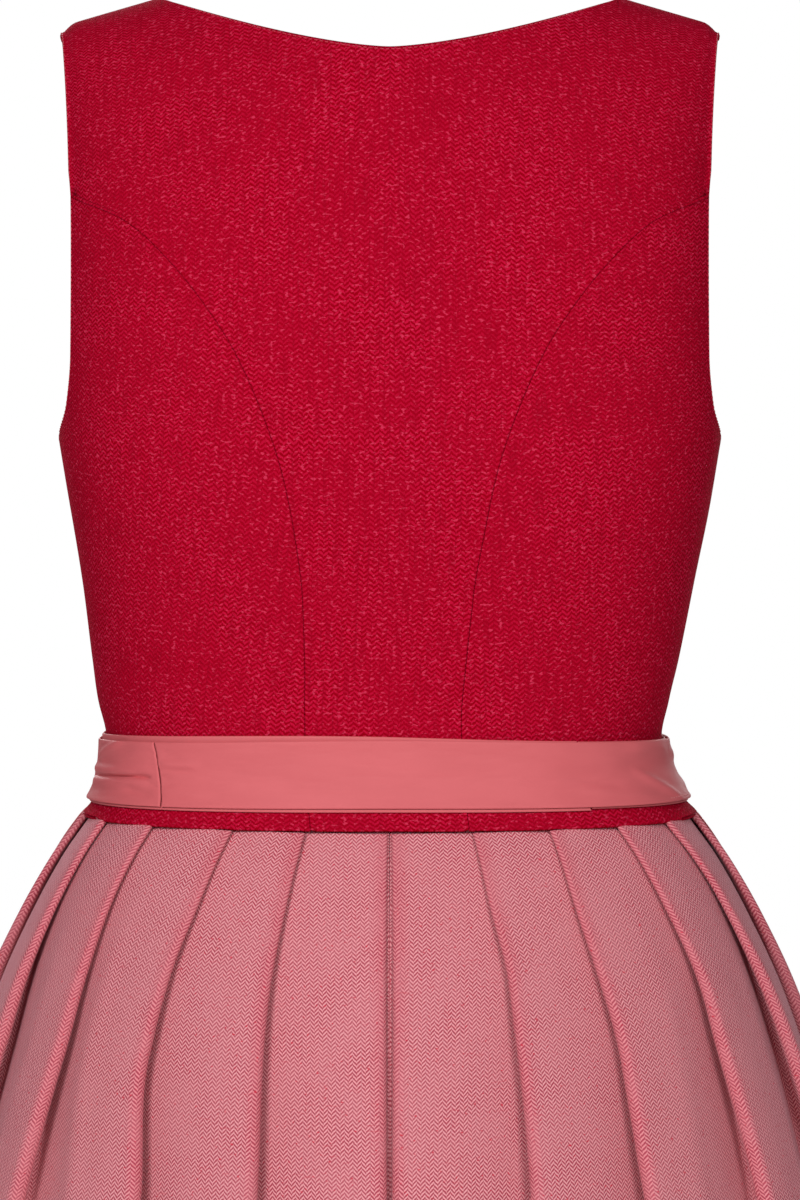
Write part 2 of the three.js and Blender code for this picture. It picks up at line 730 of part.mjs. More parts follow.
function skirtHalf() {
  const parts = { back: [], front: [] };
  for (const z of SKIRT_RINGS) {
    const road = ringRoad(sectionAt(z));
    const row = pleatRow(road.length, z);
    const offset = (point, side) => ({
      s: point.s - side * Math.sin(point.heading) * SKIRT_WALL * 0.5,
      r: point.r + side * Math.cos(point.heading) * SKIRT_WALL * 0.5,
    });
    const proudest = Math.max(...row.map((point) => offset(point, 1).r));
    const pairs = row.map((point) => {
      const place = (side) => {
        const { s, r } = offset(point, side);
        const { x, y, theta } = road.spot(s, r - proudest);
        const fade = (z - HEM) / (WAIST_SEAM - HEM);
        return new THREE.Vector3(x, y, z - WAIST_SEAM_DIP * Math.sin(theta) ** 2 * fade);
      };
      return { outer: place(1), inner: place(-1) };
    });
    const seam = row.findIndex((point) => point.note === "seam");
    parts.back.push(pairs.slice(0, seam + 1));
    parts.front.push(pairs.slice(seam + 1));
  }
  return parts;
}

// The two faces of a satin wall over the bodice, at one angle and height
function bandPair(angle, z, lift) {
  const theta = rad(angle);
  const level = (z - seamHeight(theta)) / (UNDERARM - seamHeight(theta));
  const inner = bodicePoint(theta, level, lift);
  return { inner, outer: bodicePoint(theta, level, lift + SATIN_WALL) };
}

// Satin bands round the waist, from one angle to another. They follow the bodice's surface.
function bandGrid(from, to, lowEdge, highEdge, liftAt) {
  const count = Math.round(Math.abs(to - from) / BAND_ANGLE_STEP);
  const grid = [];
  for (let i = 0; i <= BAND_STEPS; i += 1) {
    const row = [];
    for (let j = 0; j <= count; j += 1) {
      const angle = mix(from, to, j / count);
      const theta = rad(angle);
      const z = mix(lowEdge(theta), highEdge(theta), i / BAND_STEPS);
      row.push(bandPair(angle, z, liftAt(angle)));
    }
    grid.push(row);
  }
  return grid;
}

const rise = (theta) => Math.max(0, Math.sin(theta));
const bandLow = (theta) => BAND_LOW + BAND_LOW_RISE * rise(theta);
const bandHigh = (theta) => BAND_HIGH + BAND_HIGH_RISE * rise(theta);

// The waistband lies over the inner tie and sinks under the outer one behind the bow
function waistbandLift(angle) {
  const way = WAISTBAND_SINKS_TO - WAISTBAND_SINKS_FROM;
  return mix(OVER_LIFT, UNDER_LIFT, clamp((angle - WAISTBAND_SINKS_FROM) / way, 0, 1));
}

function bands() {
  const gap = THREE.MathUtils.radToDeg(SEAM_GAP / BAND_REACH);
  const outerTie = bandGrid(TIE_SEAM + gap, 360 + OUTER_TIE_END, bandLow, bandHigh, () => OVER_LIFT);
  addPiece("tie_outer", wallGeometry(outerTie), cloths.satin);
  const tieLow = (theta) => bandLow(theta) - INNER_TIE_BELOW * rise(theta);
  const tieHigh = (theta) => bandHigh(theta) + INNER_TIE_ABOVE;
  const innerEnd = WAISTBAND_RIGHT_END - gap;
  const innerTie = bandGrid(INNER_TIE_END, innerEnd, tieLow, tieHigh, () => UNDER_LIFT);
  addPiece("tie_inner", wallGeometry(innerTie), cloths.satin);
  const bandEnd = WAISTBAND_RIGHT_END - 360 + gap;
  const waistband = bandGrid(TIE_SEAM - gap, bandEnd, bandLow, bandHigh, waistbandLift);
  addPiece("apron_waistband", wallGeometry(waistband), cloths.satin);
}

// A point of the outline's outside, lifted outward level with the ground
function outsidePoint(theta, z, out) {
  const size = sectionAt(z);
  const spot = ringSpot(theta, size);
  const ahead = ringSpot(theta + 2e-3, size).sub(ringSpot(theta - 2e-3, size)).normalize();
  return new THREE.Vector3(spot.x + size.shift + ahead.y * out, spot.y - ahead.x * out, z);
}

// The apron starts flat at the waistband's lower edge and falls in waves from there
function apronPanel() {
  const columns = APRON_WAVES * APRON_POINTS_PER_WAVE;
  return APRON_ROWS.map((z) => {
    const row = [];
    for (let j = 0; j <= columns; j += 1) {
      const u = j / columns;
      const angle = -mix(APRON_EDGE_ANGLE, 180 - APRON_EDGE_ANGLE, u);
      const theta = rad(angle);
      if (z === APRON_TOP) {
        const pair = bandPair(angle, BAND_LOW, waistbandLift(angle));
        pair.inner.z -= SEAM_GAP;
        pair.outer.z -= SEAM_GAP;
        row.push(pair);
        continue;
      }
      let phase = j / APRON_POINTS_PER_WAVE;
      for (const drift of APRON_DRIFTS) {
        phase += drift.reach * Math.sin(drift.turns * u + drift.slant * z);
      }
      const wave = apronWave(z) * (0.5 + 0.5 * Math.cos(2 * Math.PI * phase));
      const out = APRON_CLEAR + wave;
      row.push({ inner: outsidePoint(theta, z, out), outer: outsidePoint(theta, z, out + SATIN_WALL) });
    }
    return row;
  });
}

// The bow's own space: t along the waist, n outward and h upward from the knot's middle
function bowSpot(t, n, h) {
  const z = (BAND_LOW + BAND_HIGH) / 2 + h;
  const theta = rad(BOW_ANGLE) + t / BOW_REACH;
  return outsidePoint(theta, z, n);
}

function bowKnot() {
  const geometry = new THREE.SphereGeometry(1, 14, 10);
  const position = geometry.getAttribute("position");
  const swell = (value) => Math.sign(value) * Math.abs(value) ** KNOT_SQUARENESS;
  const seat = OVER_LIFT + SATIN_WALL + SEAM_GAP;
  for (let i = 0; i < position.count; i += 1) {
    const t = swell(position.getX(i)) * KNOT_HALF_WIDTH;
    const h = swell(position.getY(i)) * KNOT_HALF_HEIGHT;
    const n = seat + (swell(position.getZ(i)) + 1) * 0.5 * KNOT_DEPTH;
    const spot = bowSpot(t, n, h);
    position.setXYZ(i, spot.x, spot.y, spot.z);
  }
  geometry.computeVertexNormals();
  return geometry;
}

// A loop leaves the knot close to the waist, turns at its end and comes back further out
function bowLoop(side) {
  const grid = [];
  const start = KNOT_HALF_WIDTH + SEAM_GAP;
  const base = OVER_LIFT + SATIN_WALL + LOOP_SEAT;
  for (let i = 0; i <= LOOP_STEPS; i += 1) {
    const turn = (i / LOOP_STEPS) * Math.PI;
    const reach = Math.sin(turn) ** LOOP_END_ROUNDNESS;
    const t = side * (start + reach * LOOP_LENGTH);
    const swing = 0.5 - 0.5 * Math.cos(turn);
    const n = base + swing * (LOOP_THROAT + LOOP_BULGE * Math.sin(turn) ** LOOP_BULGE_ROUNDNESS);
    const half = 0.5 * mix(LOOP_PINCH, LOOP_WIDTH, reach ** LOOP_WIDENING);
    const droop = LOOP_DROOP * reach * reach;
    const aside = side * Math.sin(turn) * SATIN_WALL * 0.5;
    const away = -Math.cos(turn) * SATIN_WALL * 0.5;
    grid.push(
      [-1, 0, 1].map((edge) => {
        const h = edge * half - droop;
        return { outer: bowSpot(t + aside, n + away, h), inner: bowSpot(t - aside, n - away, h) };
      }),
    );
  }
  return grid;
}

// A tail leaves the knot below and hangs over the apron, cut slanting at its end
function bowTail(side) {
  const grid = [];
  const waistReach = sectionAt(BAND_LOW).front;
  const top = -KNOT_HALF_HEIGHT - SEAM_GAP;
  for (let i = 0; i <= TAIL_STEPS; i += 1) {
    const share = i / TAIL_STEPS;
    const row = [];
    const widened = Math.min(1, share / TAIL_WIDENS_BY) ** TAIL_WIDENING;
    const settled = Math.min(1, share / TAIL_SETTLES_BY);
    for (const edge of TAIL_EDGES) {
      const half = 0.5 * mix(TAIL_TOP_WIDTH, TAIL_WIDTH, widened);
      const t = side * (TAIL_ASIDE + TAIL_SPREAD * Math.sqrt(share)) + edge * half;
      const h = top - TAIL_LENGTH * share - side * edge * TAIL_CUT * share;
      const z = (BAND_LOW + BAND_HIGH) / 2 + h;
      const clear = APRON_CLEAR + apronWave(Math.min(z, APRON_TOP)) + SATIN_WALL + TAIL_CLEAR;
      const wave = TAIL_WAVE * (1 - Math.cos(share * TAIL_WAVE_TURNS + side));
      const twist = TAIL_TWIST * (edge + 1);
      const out = mix(OVER_LIFT + SATIN_WALL + TAIL_TOP_CLEAR, clear, settled) + wave + twist;
      const along = (t * waistReach) / sectionAt(Math.min(z, BAND_LOW)).front;
      row.push({ inner: bowSpot(along, out, h), outer: bowSpot(along, out + SATIN_WALL, h) });
    }
    grid.push(row);
  }
  return grid;
}

addPiece("back_centre", wallGeometry(backCentre()), cloths.bodice);
for (const side of ["left", "right"]) {
  const onRight = side === "right";
  addPiece(`back_side_${side}`, wallGeometry(backSide(onRight)), cloths.bodice);
  addPiece(`front_side_${side}`, wallGeometry(frontSide(onRight)), cloths.bodice);
  addPiece(`front_${side}`, wallGeometry(front(onRight)), cloths.bodice);
}
buttons();

const skirt = skirtHalf();
addPiece("skirt_back_left", wallGeometry(skirt.back), cloths.skirt);
addPiece("skirt_back_right", wallGeometry(mirrored(skirt.back)), cloths.skirt);
addPiece("skirt_front_left", wallGeometry(skirt.front), cloths.skirt);
addPiece("skirt_front_right", wallGeometry(mirrored(skirt.front)), cloths.skirt);

bands();
addPiece("apron_panel", wallGeometry(apronPanel()), cloths.satin);
addPiece("bow_knot", bowKnot(), cloths.satin);
addPiece("bow_loop_left", wallGeometry(bowLoop(1)), cloths.satin);
addPiece("bow_loop_right", wallGeometry(bowLoop(-1)), cloths.satin);
addPiece("bow_tail_left", wallGeometry(bowTail(1)), cloths.satin);
addPiece("bow_tail_right", wallGeometry(bowTail(-1)), cloths.satin);

export default garment;
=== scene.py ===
import math

import bmesh
import bpy
import numpy as np
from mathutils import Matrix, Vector


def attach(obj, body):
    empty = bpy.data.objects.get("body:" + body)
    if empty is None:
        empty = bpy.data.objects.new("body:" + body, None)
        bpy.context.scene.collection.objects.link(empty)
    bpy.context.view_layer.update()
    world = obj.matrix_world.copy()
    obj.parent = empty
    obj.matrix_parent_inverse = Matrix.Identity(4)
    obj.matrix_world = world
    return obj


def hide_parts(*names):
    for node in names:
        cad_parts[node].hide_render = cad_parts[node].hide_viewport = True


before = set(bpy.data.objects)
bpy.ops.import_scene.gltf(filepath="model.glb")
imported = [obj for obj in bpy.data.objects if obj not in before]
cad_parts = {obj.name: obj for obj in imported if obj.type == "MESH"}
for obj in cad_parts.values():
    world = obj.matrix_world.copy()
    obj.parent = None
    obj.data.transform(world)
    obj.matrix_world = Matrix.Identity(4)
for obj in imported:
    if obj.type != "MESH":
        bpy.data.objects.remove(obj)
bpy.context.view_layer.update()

# A sleeveless dirndl: fine cloth in place of the frame's panels, pleats, apron, ties and bow.
# Sizes are in millimetres in the frame's directions until a mesh is made, which is in metres.
MM = 0.001
PER_METRE = 1000

# Cloth walls and the spaces between them
SEAM_GAP = 0.3
BODICE_WALL = 1.6
SKIRT_WALL = 1.2
SATIN_WALL = 1.2

# Heights
UNDERARM = -205
WAIST_SEAM = -380.5
WAIST_SEAM_DIP = 2
HEM = -1060

# Outer outline from underarm to hem, as the frame has it
OUTLINE = (
    ("z", "half", "back", "front", "power", "shift"),
    (-205, 155, 107, 98, 2.6, 0),
    (-234, 150.3, 106, 102, 2.5, 0),
    (-271, 143.6, 101, 100, 2.45, 0.7),
    (-309, 137.5, 95.5, 96, 2.4, 2.1),
    (-328, 134, 93.5, 94.5, 2.35, 3),
    (-345, 130.5, 92.5, 94, 2.3, 2.8),
    (-356, 131.5, 93, 94.5, 2.3, 2.3),
    (-367, 134.8, 94.8, 96.5, 2.3, 1.2),
    (-374, 138.5, 97, 99, 2.3, 0.6),
    (-380.5, 144.5, 101, 103, 2.3, 0),
    (-390, 151.8, 107, 108.5, 2.3, 0),
    (-400, 158.9, 113, 114, 2.25, 0),
    (-428, 175, 127.5, 127.5, 2.2, 0),
    (-465, 192.3, 143.5, 141.5, 2.2, 0),
    (-550, 221, 172, 166, 2.15, 0),
    (-650, 249, 198, 190, 2.1, 0),
    (-800, 287, 233, 224, 2.1, 0),
    (-1060, 350, 295, 285, 2.05, 0),
)

# Shoulders
SHOULDER_HALF = 159
SHOULDER_POWER = 2.8
NECK_HALF = 107
RIDGE_AT_NECK = 1
RIDGE_SLOPE = 0.288
CORNER_FROM = 146
CORNER_LENGTH = 10
CORNER_DROP = 8
BACK_FULLNESS = 2.3
FRONT_FULLNESS = 2
RIDGE_LEVEL = 2
SHOULDER_SEAM_LEVEL = 2.08
SHOULDER_SEAM_GAP = 0.0005

# Cups of the front
CUP_OUT = 17
CUP_ENDS = 0.35
CUP_X = 76
CUP_Z = -240
CUP_WIDTH = 44
CUP_HEIGHT = 50

# Necklines, princess seams and armholes
BACK_NECK_DEPTH = 24.3
BACK_NECK_HALF = 105
BACK_NECK_POWER = 1.5
FRONT_NECK_LOW = -160
FRONT_NECK = (
    ("z", "x"),
    (-160, 0),
    (-158, 38),
    (-150, 60),
    (-132, 76),
    (-100, 88),
    (-60, 96),
    (0, 107),
)
BACK_PRINCESS = (
    ("z", "x"),
    (-383, 36),
    (-337, 35.5),
    (-275, 38.6),
    (-245, 43),
    (-218, 48.6),
    (-193, 56.7),
    (-163, 70),
    (-140, 85),
    (-120, 102),
    (-104, 120.5),
    (-92.5, 147.5),
)
FRONT_PRINCESS = (
    ("z", "x"),
    (-383, 44),
    (-337, 46),
    (-285, 60),
    (-240, 76),
    (-200, 88),
    (-165, 106),
    (-140, 122),
    (-128, 136),
)
BACK_ARMHOLE = (
    ("z", "angle"),
    (-205, 0),
    (-202, 8),
    (-188, 15.5),
    (-165, 18),
    (-92.5, 19),
    (-40, 17),
    (0, 15),
)
FRONT_ARMHOLE = (
    ("z", "angle"),
    (-205, 0),
    (-202, 8),
    (-188, 17),
    (-165, 22),
    (-120, 25),
    (-60, 22),
    (0, 15),
)
BACK_SPLIT = -92.5
FRONT_SPLIT = -128
TIP_ANGLE = 1.1

# Lapped closing of the fronts
LAP = 10
LAP_RAMP = 14
LAP_SINK = 2.0

# Skirt pleats
PLEATS = 11
SIDE_SEAM_PLEAT = 5
SEAM_ON_FACE = 0.9
PLEAT_CUT = 100
PLEAT_SETTINGS = (
    ("z", "turn", "parting"),
    (-380, 171.5, 0.8),
    (-400, 171, 1.1),
    (-450, 168, 1.3),
    (-550, 162, 1.1),
    (-650, 140, 8),
    (-820, 95, 22),
    (-1060, 52, 38),
)
UNDERLAY_KNEE = {"along": 0.45, "up": 0.2, "slope": 0.6}

# Satin bands
BAND_LOW = -375.6
BAND_HIGH = -345.8
BAND_LOW_RISE = 3.6
BAND_HIGH_RISE = 6
INNER_TIE_BELOW = 1.2
UNDER_LIFT = 0.7
OVER_LIFT = UNDER_LIFT + SATIN_WALL + 0.65
TIE_SEAM = 33
WAISTBAND_RIGHT_END = 140
BAND_REACH = 110
WAISTBAND_SINKS = (-64, -78)
OUTER_TIE_END = -79
INNER_TIE_END = -62

# Apron and bow
APRON_EDGE_ANGLE = 14
APRON_WAVES = 15
APRON_WAVE_POINTS = 14
APRON_TOP = -377
APRON_HEM = -1030
APRON_CLEAR = 2.7
APRON_DRIFTS = ((0.12, 9, 0), (0.08, 23, 1 / 300))
APRON_WAVE = (
    ("z", "depth"),
    (-377, 1.1),
    (-400, 2.2),
    (-490, 5),
    (-700, 9),
    (-1060, 15),
)
BOW_ANGLE = -72
BOW_REACH = 103
KNOT = {"width": 12, "height": 15, "depth": 11, "squareness": 0.55}
LOOP = {"length": 62, "bulge": 17, "seat": 4.5, "throat": 4, "droop": 10, "width": 36, "pinch": 15}
TAIL = {"length": 330, "width": 38, "aside": 5.2, "spread": 52, "cut": 14, "clear": 1.4, "top": 9}


def curve(table, column):
    """A smooth curve through one column of a table, which never overshoots its rows."""
    rows = np.array(sorted(table[1:]), float)
    x, y = rows[:, 0], rows[:, table[0].index(column)]
    slope = np.diff(y) / np.diff(x)
    before, after = slope[:-1], slope[1:]
    total = np.where(before * after > 0, before + after, 1)
    inner = np.where(before * after > 0, 2 * before * after / total, 0)
    tangent = np.concatenate([slope[:1], inner, slope[-1:]])

    def at(where):
        where = np.clip(where, x[0], x[-1])
        i = np.clip(np.searchsorted(x, where, side="right") - 1, 0, len(x) - 2)
        step = x[i + 1] - x[i]
        t = (where - x[i]) / step
        rise = t * t * (3 - 2 * t)
        lead = tangent[i] * t * (1 - t) ** 2 - tangent[i + 1] * t * t * (1 - t)
        return y[i] + (y[i + 1] - y[i]) * rise + step * lead

    return at


OUTLINE_CURVES = {name: curve(OUTLINE, name) for name in OUTLINE[0][1:]}
back_princess = curve(BACK_PRINCESS, "x")
front_princess = curve(FRONT_PRINCESS, "x")
back_armhole = curve(BACK_ARMHOLE, "angle")
front_armhole = curve(FRONT_ARMHOLE, "angle")
front_neck = curve(FRONT_NECK, "x")
apron_wave = curve(APRON_WAVE, "depth")
pleat_turn = curve(PLEAT_SETTINGS, "turn")
pleat_parting = curve(PLEAT_SETTINGS, "parting")


def mix(a, b, t):
    return a + (b - a) * t


def smooth(low, high, value):
    t = np.clip((value - low) / (high - low), 0, 1)
    return t * t * (3 - 2 * t)


def unit(vectors):
    return vectors / np.maximum(np.linalg.norm(vectors, axis=-1, keepdims=True), 1e-9)


def section_at(z):
    return {name: at(z) for name, at in OUTLINE_CURVES.items()}


def ring_spot(theta, size):
    c, s = np.cos(theta), np.sin(theta)
    depth = np.where(s >= 0, size["back"], size["front"])
    power = size["power"]
    total = np.abs(c / size["half"]) ** power + np.abs(s / depth) ** power
    reach = total ** (-1 / power)
    return reach * c, reach * s


def seam_height(theta):
    return WAIST_SEAM - WAIST_SEAM_DIP * np.sin(theta) ** 2


def ridge_height(x):
    out = np.maximum(0, np.abs(x) - CORNER_FROM) / CORNER_LENGTH
    return RIDGE_AT_NECK - RIDGE_SLOPE * (np.abs(x) - NECK_HALF) - CORNER_DROP * out * out


def shoulder_section(rise):
    size = section_at(UNDERARM + 0 * rise)
    size["half"] = mix(size["half"], SHOULDER_HALF, rise)
    size["power"] = mix(size["power"], SHOULDER_POWER, rise)
    middle = (size["back"] + size["front"]) / 2
    size["back"] = mix(size["back"], middle, rise)
    size["front"] = mix(size["front"], middle, rise)
    return size


def cup_depth(x, z):
    across = (np.abs(x) - CUP_X) / CUP_WIDTH
    along = (z - CUP_Z) / CUP_HEIGHT
    return CUP_OUT * np.exp(-across * across - along * along)


LEVEL_ROUNDS = 6
SMALL_STEP = 1e-3


def bodice_surface(theta, level):
    """The bodice's outer surface: level 0 is the waist seam, 1 the underarm, 2 the shoulder
    ridge, and past it the surface runs down the other side."""
    theta, level = np.broadcast_arrays(np.asarray(theta, float), np.asarray(level, float))
    over = level > RIDGE_LEVEL
    theta = np.where(over, -theta, theta)
    level = np.where(over, 2 * RIDGE_LEVEL - level, level)
    behind = np.sin(theta) >= 0
    low = np.minimum(level, 1)
    z = mix(seam_height(theta), UNDERARM, low)
    size = section_at(z)
    x, y = ring_spot(theta, size)
    x = x + size["shift"]
    rise = np.clip(level - 1, 0, 1)
    spot_x, spot_y = ring_spot(theta, shoulder_section(rise))
    fullness = np.where(behind, BACK_FULLNESS, FRONT_FULLNESS)
    lean = rise * np.pi / 2
    near = np.maximum(np.cos(lean), 0) ** (2 / fullness)
    up = np.sin(lean) ** (2 / fullness)
    high = level > 1
    x = np.where(high, spot_x, x)
    y = np.where(high, spot_y * near, y)
    z = np.where(high, mix(UNDERARM, ridge_height(spot_x), up), z)
    from_side = smooth(0, CUP_ENDS, -np.sin(theta))
    y = y - np.where(behind, 0, cup_depth(x, z) * np.minimum(1, RIDGE_LEVEL - level) * from_side)
    return np.stack([x, y, z], -1)


def level_of(theta, z):
    """The level at a height, found in a few rounds, since the ridge's height varies with x."""
    theta, z = np.broadcast_arrays(np.asarray(theta, float), np.asarray(z, float))
    fullness = np.where(np.sin(theta) >= 0, BACK_FULLNESS, FRONT_FULLNESS)
    rise = np.full(theta.shape, 0.5)
    for _round in range(LEVEL_ROUNDS):
        x, _y = ring_spot(theta, shoulder_section(rise))
        up = np.clip((z - UNDERARM) / (ridge_height(x) - UNDERARM), 0, 1)
        rise = np.arcsin(up ** (fullness / 2)) / (np.pi / 2)
    low = (z - WAIST_SEAM) / (UNDERARM - WAIST_SEAM)
    return np.where(z <= UNDERARM, low, 1 + rise)


def theta_of(x, z, side):
    x, z = np.broadcast_arrays(np.asarray(x, float), np.asarray(z, float))
    low, high = section_at(z), shoulder_section((z - UNDERARM) / -UNDERARM)
    size = {name: np.where(z <= UNDERARM, low[name], high[name]) for name in low}
    depth = size["back"] if side > 0 else size["front"]
    share = np.clip(np.abs(x) / size["half"], 0, 1)
    return np.arctan2(side * depth * (1 - share ** size["power"]) ** (1 / size["power"]), x)


def bodice_point(theta, level, lift):
    """A point over the bodice's surface. On the waist seam it is lifted straight outward."""
    step = SMALL_STEP
    across = bodice_surface(theta + step, level) - bodice_surface(theta - step, level)
    along = bodice_surface(theta, level + step) - bodice_surface(theta, level - step)
    outward = np.cross(across, along)
    flat = np.broadcast_to(np.asarray(level, float) < step, outward.shape[:-1])
    outward[..., 2] = np.where(flat, 0, outward[..., 2])
    return bodice_surface(theta, level) + unit(outward) * np.asarray(lift, float)[..., None]


def grid_normals(grid):
    """Unit normals of a grid of points, from its own rows and columns."""
    across = np.gradient(grid, axis=1)
    along = np.gradient(grid, axis=0)
    return unit(np.cross(across, along))


def travelled(points):
    """How far each point of a line, or of each row of a grid, lies from the first one."""
    steps = np.linalg.norm(np.diff(points, axis=-2), axis=-1)
    return np.concatenate([np.zeros_like(steps[..., :1]), np.cumsum(steps, -1)], -1)


def edge_distance(grid):
    """How far each point of a grid lies from its four sides."""
    left = travelled(grid)
    low = travelled(grid.swapaxes(0, 1)).T
    return {"left": left, "right": left[:, -1:] - left, "low": low, "high": low[-1:] - low}


def grid_area(grid):
    """Area of a grid of points, in square metres."""
    one = np.cross(grid[1:, :-1] - grid[:-1, :-1], grid[:-1, 1:] - grid[:-1, :-1])
    two = np.cross(grid[1:, :-1] - grid[1:, 1:], grid[:-1, 1:] - grid[1:, 1:])
    total = np.linalg.norm(one, axis=-1).sum() + np.linalg.norm(two, axis=-1).sum()
    return float(total / 2) * MM * MM


def linked(name, data):
    thing = bpy.data.objects.new(name, data)
    bpy.context.scene.collection.objects.link(thing)
    return thing


def make_mesh(name, points, faces, uv, material):
    mesh = bpy.data.meshes.new(name)
    mesh.from_pydata((points * MM).tolist(), [], faces)
    if uv is not None:
        layer = mesh.uv_layers.new(name="cloth")
        corner = np.zeros(len(mesh.loops), np.int32)
        mesh.loops.foreach_get("vertex_index", corner)
        layer.data.foreach_set("uv", (uv[corner] * MM).astype(np.float32).ravel())
    mesh.polygons.foreach_set("use_smooth", [True] * len(mesh.polygons))
    mesh.update()
    piece = linked(name, mesh)
    mesh.materials.append(material)
    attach(piece, "root")
    return piece


EDGE_LEAST = 0.02


def cloth(name, middle, wall, uv, material, outward=1, rounded=()):
    """A closed thin shell round a grid of middle points. The sides named in rounded (left,
    right, low, high) end in a round edge, as a turned and pressed one does."""
    rows, columns = middle.shape[:2]
    normals = grid_normals(middle) * outward
    half = np.full((rows, columns), wall / 2)
    distances = edge_distance(middle)
    for side in rounded:
        near = np.clip(distances[side] / wall, 0, 1)
        half = np.minimum(half, wall / 2 * np.sqrt(1 - (1 - near) ** 2) + EDGE_LEAST)
    outer = middle + normals * half[..., None]
    inner = middle - normals * half[..., None]
    points = np.concatenate([outer.reshape(-1, 3), inner.reshape(-1, 3)])
    count = rows * columns
    index = np.arange(count).reshape(rows, columns)
    a, b = index[:-1, :-1].ravel(), index[:-1, 1:].ravel()
    c, d = index[1:, 1:].ravel(), index[1:, :-1].ravel()
    front = np.stack([a, b, c, d], 1)
    back = np.stack([d, c, b, a], 1) + count
    loop = np.concatenate(
        [index[0, :-1], index[:-1, -1], index[-1, :0:-1], index[:0:-1, 0]]
    )
    after = np.roll(loop, -1)
    rim = np.stack([after, loop, loop + count, after + count], 1)
    faces = np.concatenate([front, back, rim])
    if outward < 0:
        faces = faces[:, ::-1]
    flat = np.concatenate([uv.reshape(-1, 2), uv.reshape(-1, 2)])
    return make_mesh(name, points, faces.tolist(), flat, material)


EDGE_STEPS = (0, 0.25, 0.6, 1.1, 1.8, 2.8)
EDGE_SHARE = 0.4


def spaced(lengths, cell, edge=EDGE_STEPS):
    """Shares from 0 to 1 along rows of the given lengths, closer together near both ends."""
    edge = np.array(edge)
    lengths = np.asarray(lengths, float)[:, None]
    count = max(3, int(lengths.max() / cell))
    inside = np.linspace(0, 1, count)[None, 1:-1]
    start = np.broadcast_to(edge, (len(lengths), len(edge))) / lengths
    start = np.minimum(start, EDGE_SHARE * np.arange(len(edge)) / len(edge))
    end = start[:, -1:]
    middle = end + inside * (1 - 2 * end)
    return np.concatenate([start, middle, 1 - start[:, ::-1]], 1)


# Cloth coordinates over the whole bodice: the way round it at one level, from the centre back or
# front, and the way up it
UV_STEP = 2.0
UV_ANGLES = np.radians(np.arange(-180, 181, UV_STEP))
UV_LEVELS = np.linspace(0, RIDGE_LEVEL, 101)
UV_SPOTS = bodice_surface(UV_ANGLES[None, :], UV_LEVELS[:, None])
UV_BACK, UV_FRONT, UV_SIDE = [int((angle + 180) / UV_STEP) for angle in (90, -90, 70)]
UV_ROUND = travelled(UV_SPOTS)
UV_UP = travelled(UV_SPOTS[:, UV_SIDE])
UV_WITHIN = 1.001


def cloth_uv(theta, level, tilt):
    """Flat cloth coordinates of a bodice panel, turned by the panel's own tilt of the grain."""
    over = level > RIDGE_LEVEL
    theta = np.where(over, -theta, theta)
    theta = (theta + np.pi) % (2 * np.pi) - np.pi
    near = np.where(over, 2 * RIDGE_LEVEL - level, level)
    row = np.clip(near / UV_LEVELS[1], 0, len(UV_LEVELS) - UV_WITHIN)
    column = (theta - UV_ANGLES[0]) / math.radians(UV_STEP)
    column = np.clip(column, 0, len(UV_ANGLES) - UV_WITHIN)
    i, j = row.astype(int), column.astype(int)
    a, b = row - i, column - j
    low = mix(UV_ROUND[i, j], UV_ROUND[i, j + 1], b)
    high = mix(UV_ROUND[i + 1, j], UV_ROUND[i + 1, j + 1], b)
    middle = np.where(np.sin(theta) > 0, UV_BACK, UV_FRONT)
    start = mix(UV_ROUND[i, middle], UV_ROUND[i + 1, middle], a)
    u = mix(low, high, a) - start
    v = np.interp(near, UV_LEVELS, UV_UP)
    v = np.where(over, 2 * UV_UP[-1] - v, v)
    c, s = math.cos(tilt), math.sin(tilt)
    return np.stack([u * c - v * s, u * s + v * c], -1)


def finished(piece, node):
    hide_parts(node)
    return piece


def along_line(line, gone, where):
    """The points of a line at the given distances, when gone holds its own points' distances."""
    return np.stack([np.interp(where, gone, line[:, k]) for k in range(3)], -1)


def tube_faces(base, rings, sides):
    """Faces between rings of points, whose first point has the number base."""
    faces = []
    for r in range(rings - 1):
        for k in range(sides):
            a, b = base + r * sides + k, base + r * sides + (k + 1) % sides
            faces.append((a, b, b + sides, a + sides))
    return faces


def inset_path(lines, inset):
    """The point of each line that lies inset from its first point."""
    return np.array([along_line(line, travelled(line), inset) for line in lines])


# A stitch's rings: where along it they lie, and their radius and height as shares of its radius
STITCH_SHARES = np.array([0, 0.14, 0.5, 0.86, 1])
STITCH_SIZES = np.array([0.35, 0.9, 1, 0.9, 0.35])
STITCH_HEIGHTS = np.array([-0.9, 0.2, 0.5, 0.2, -0.9])
STITCH_SIDES = 6


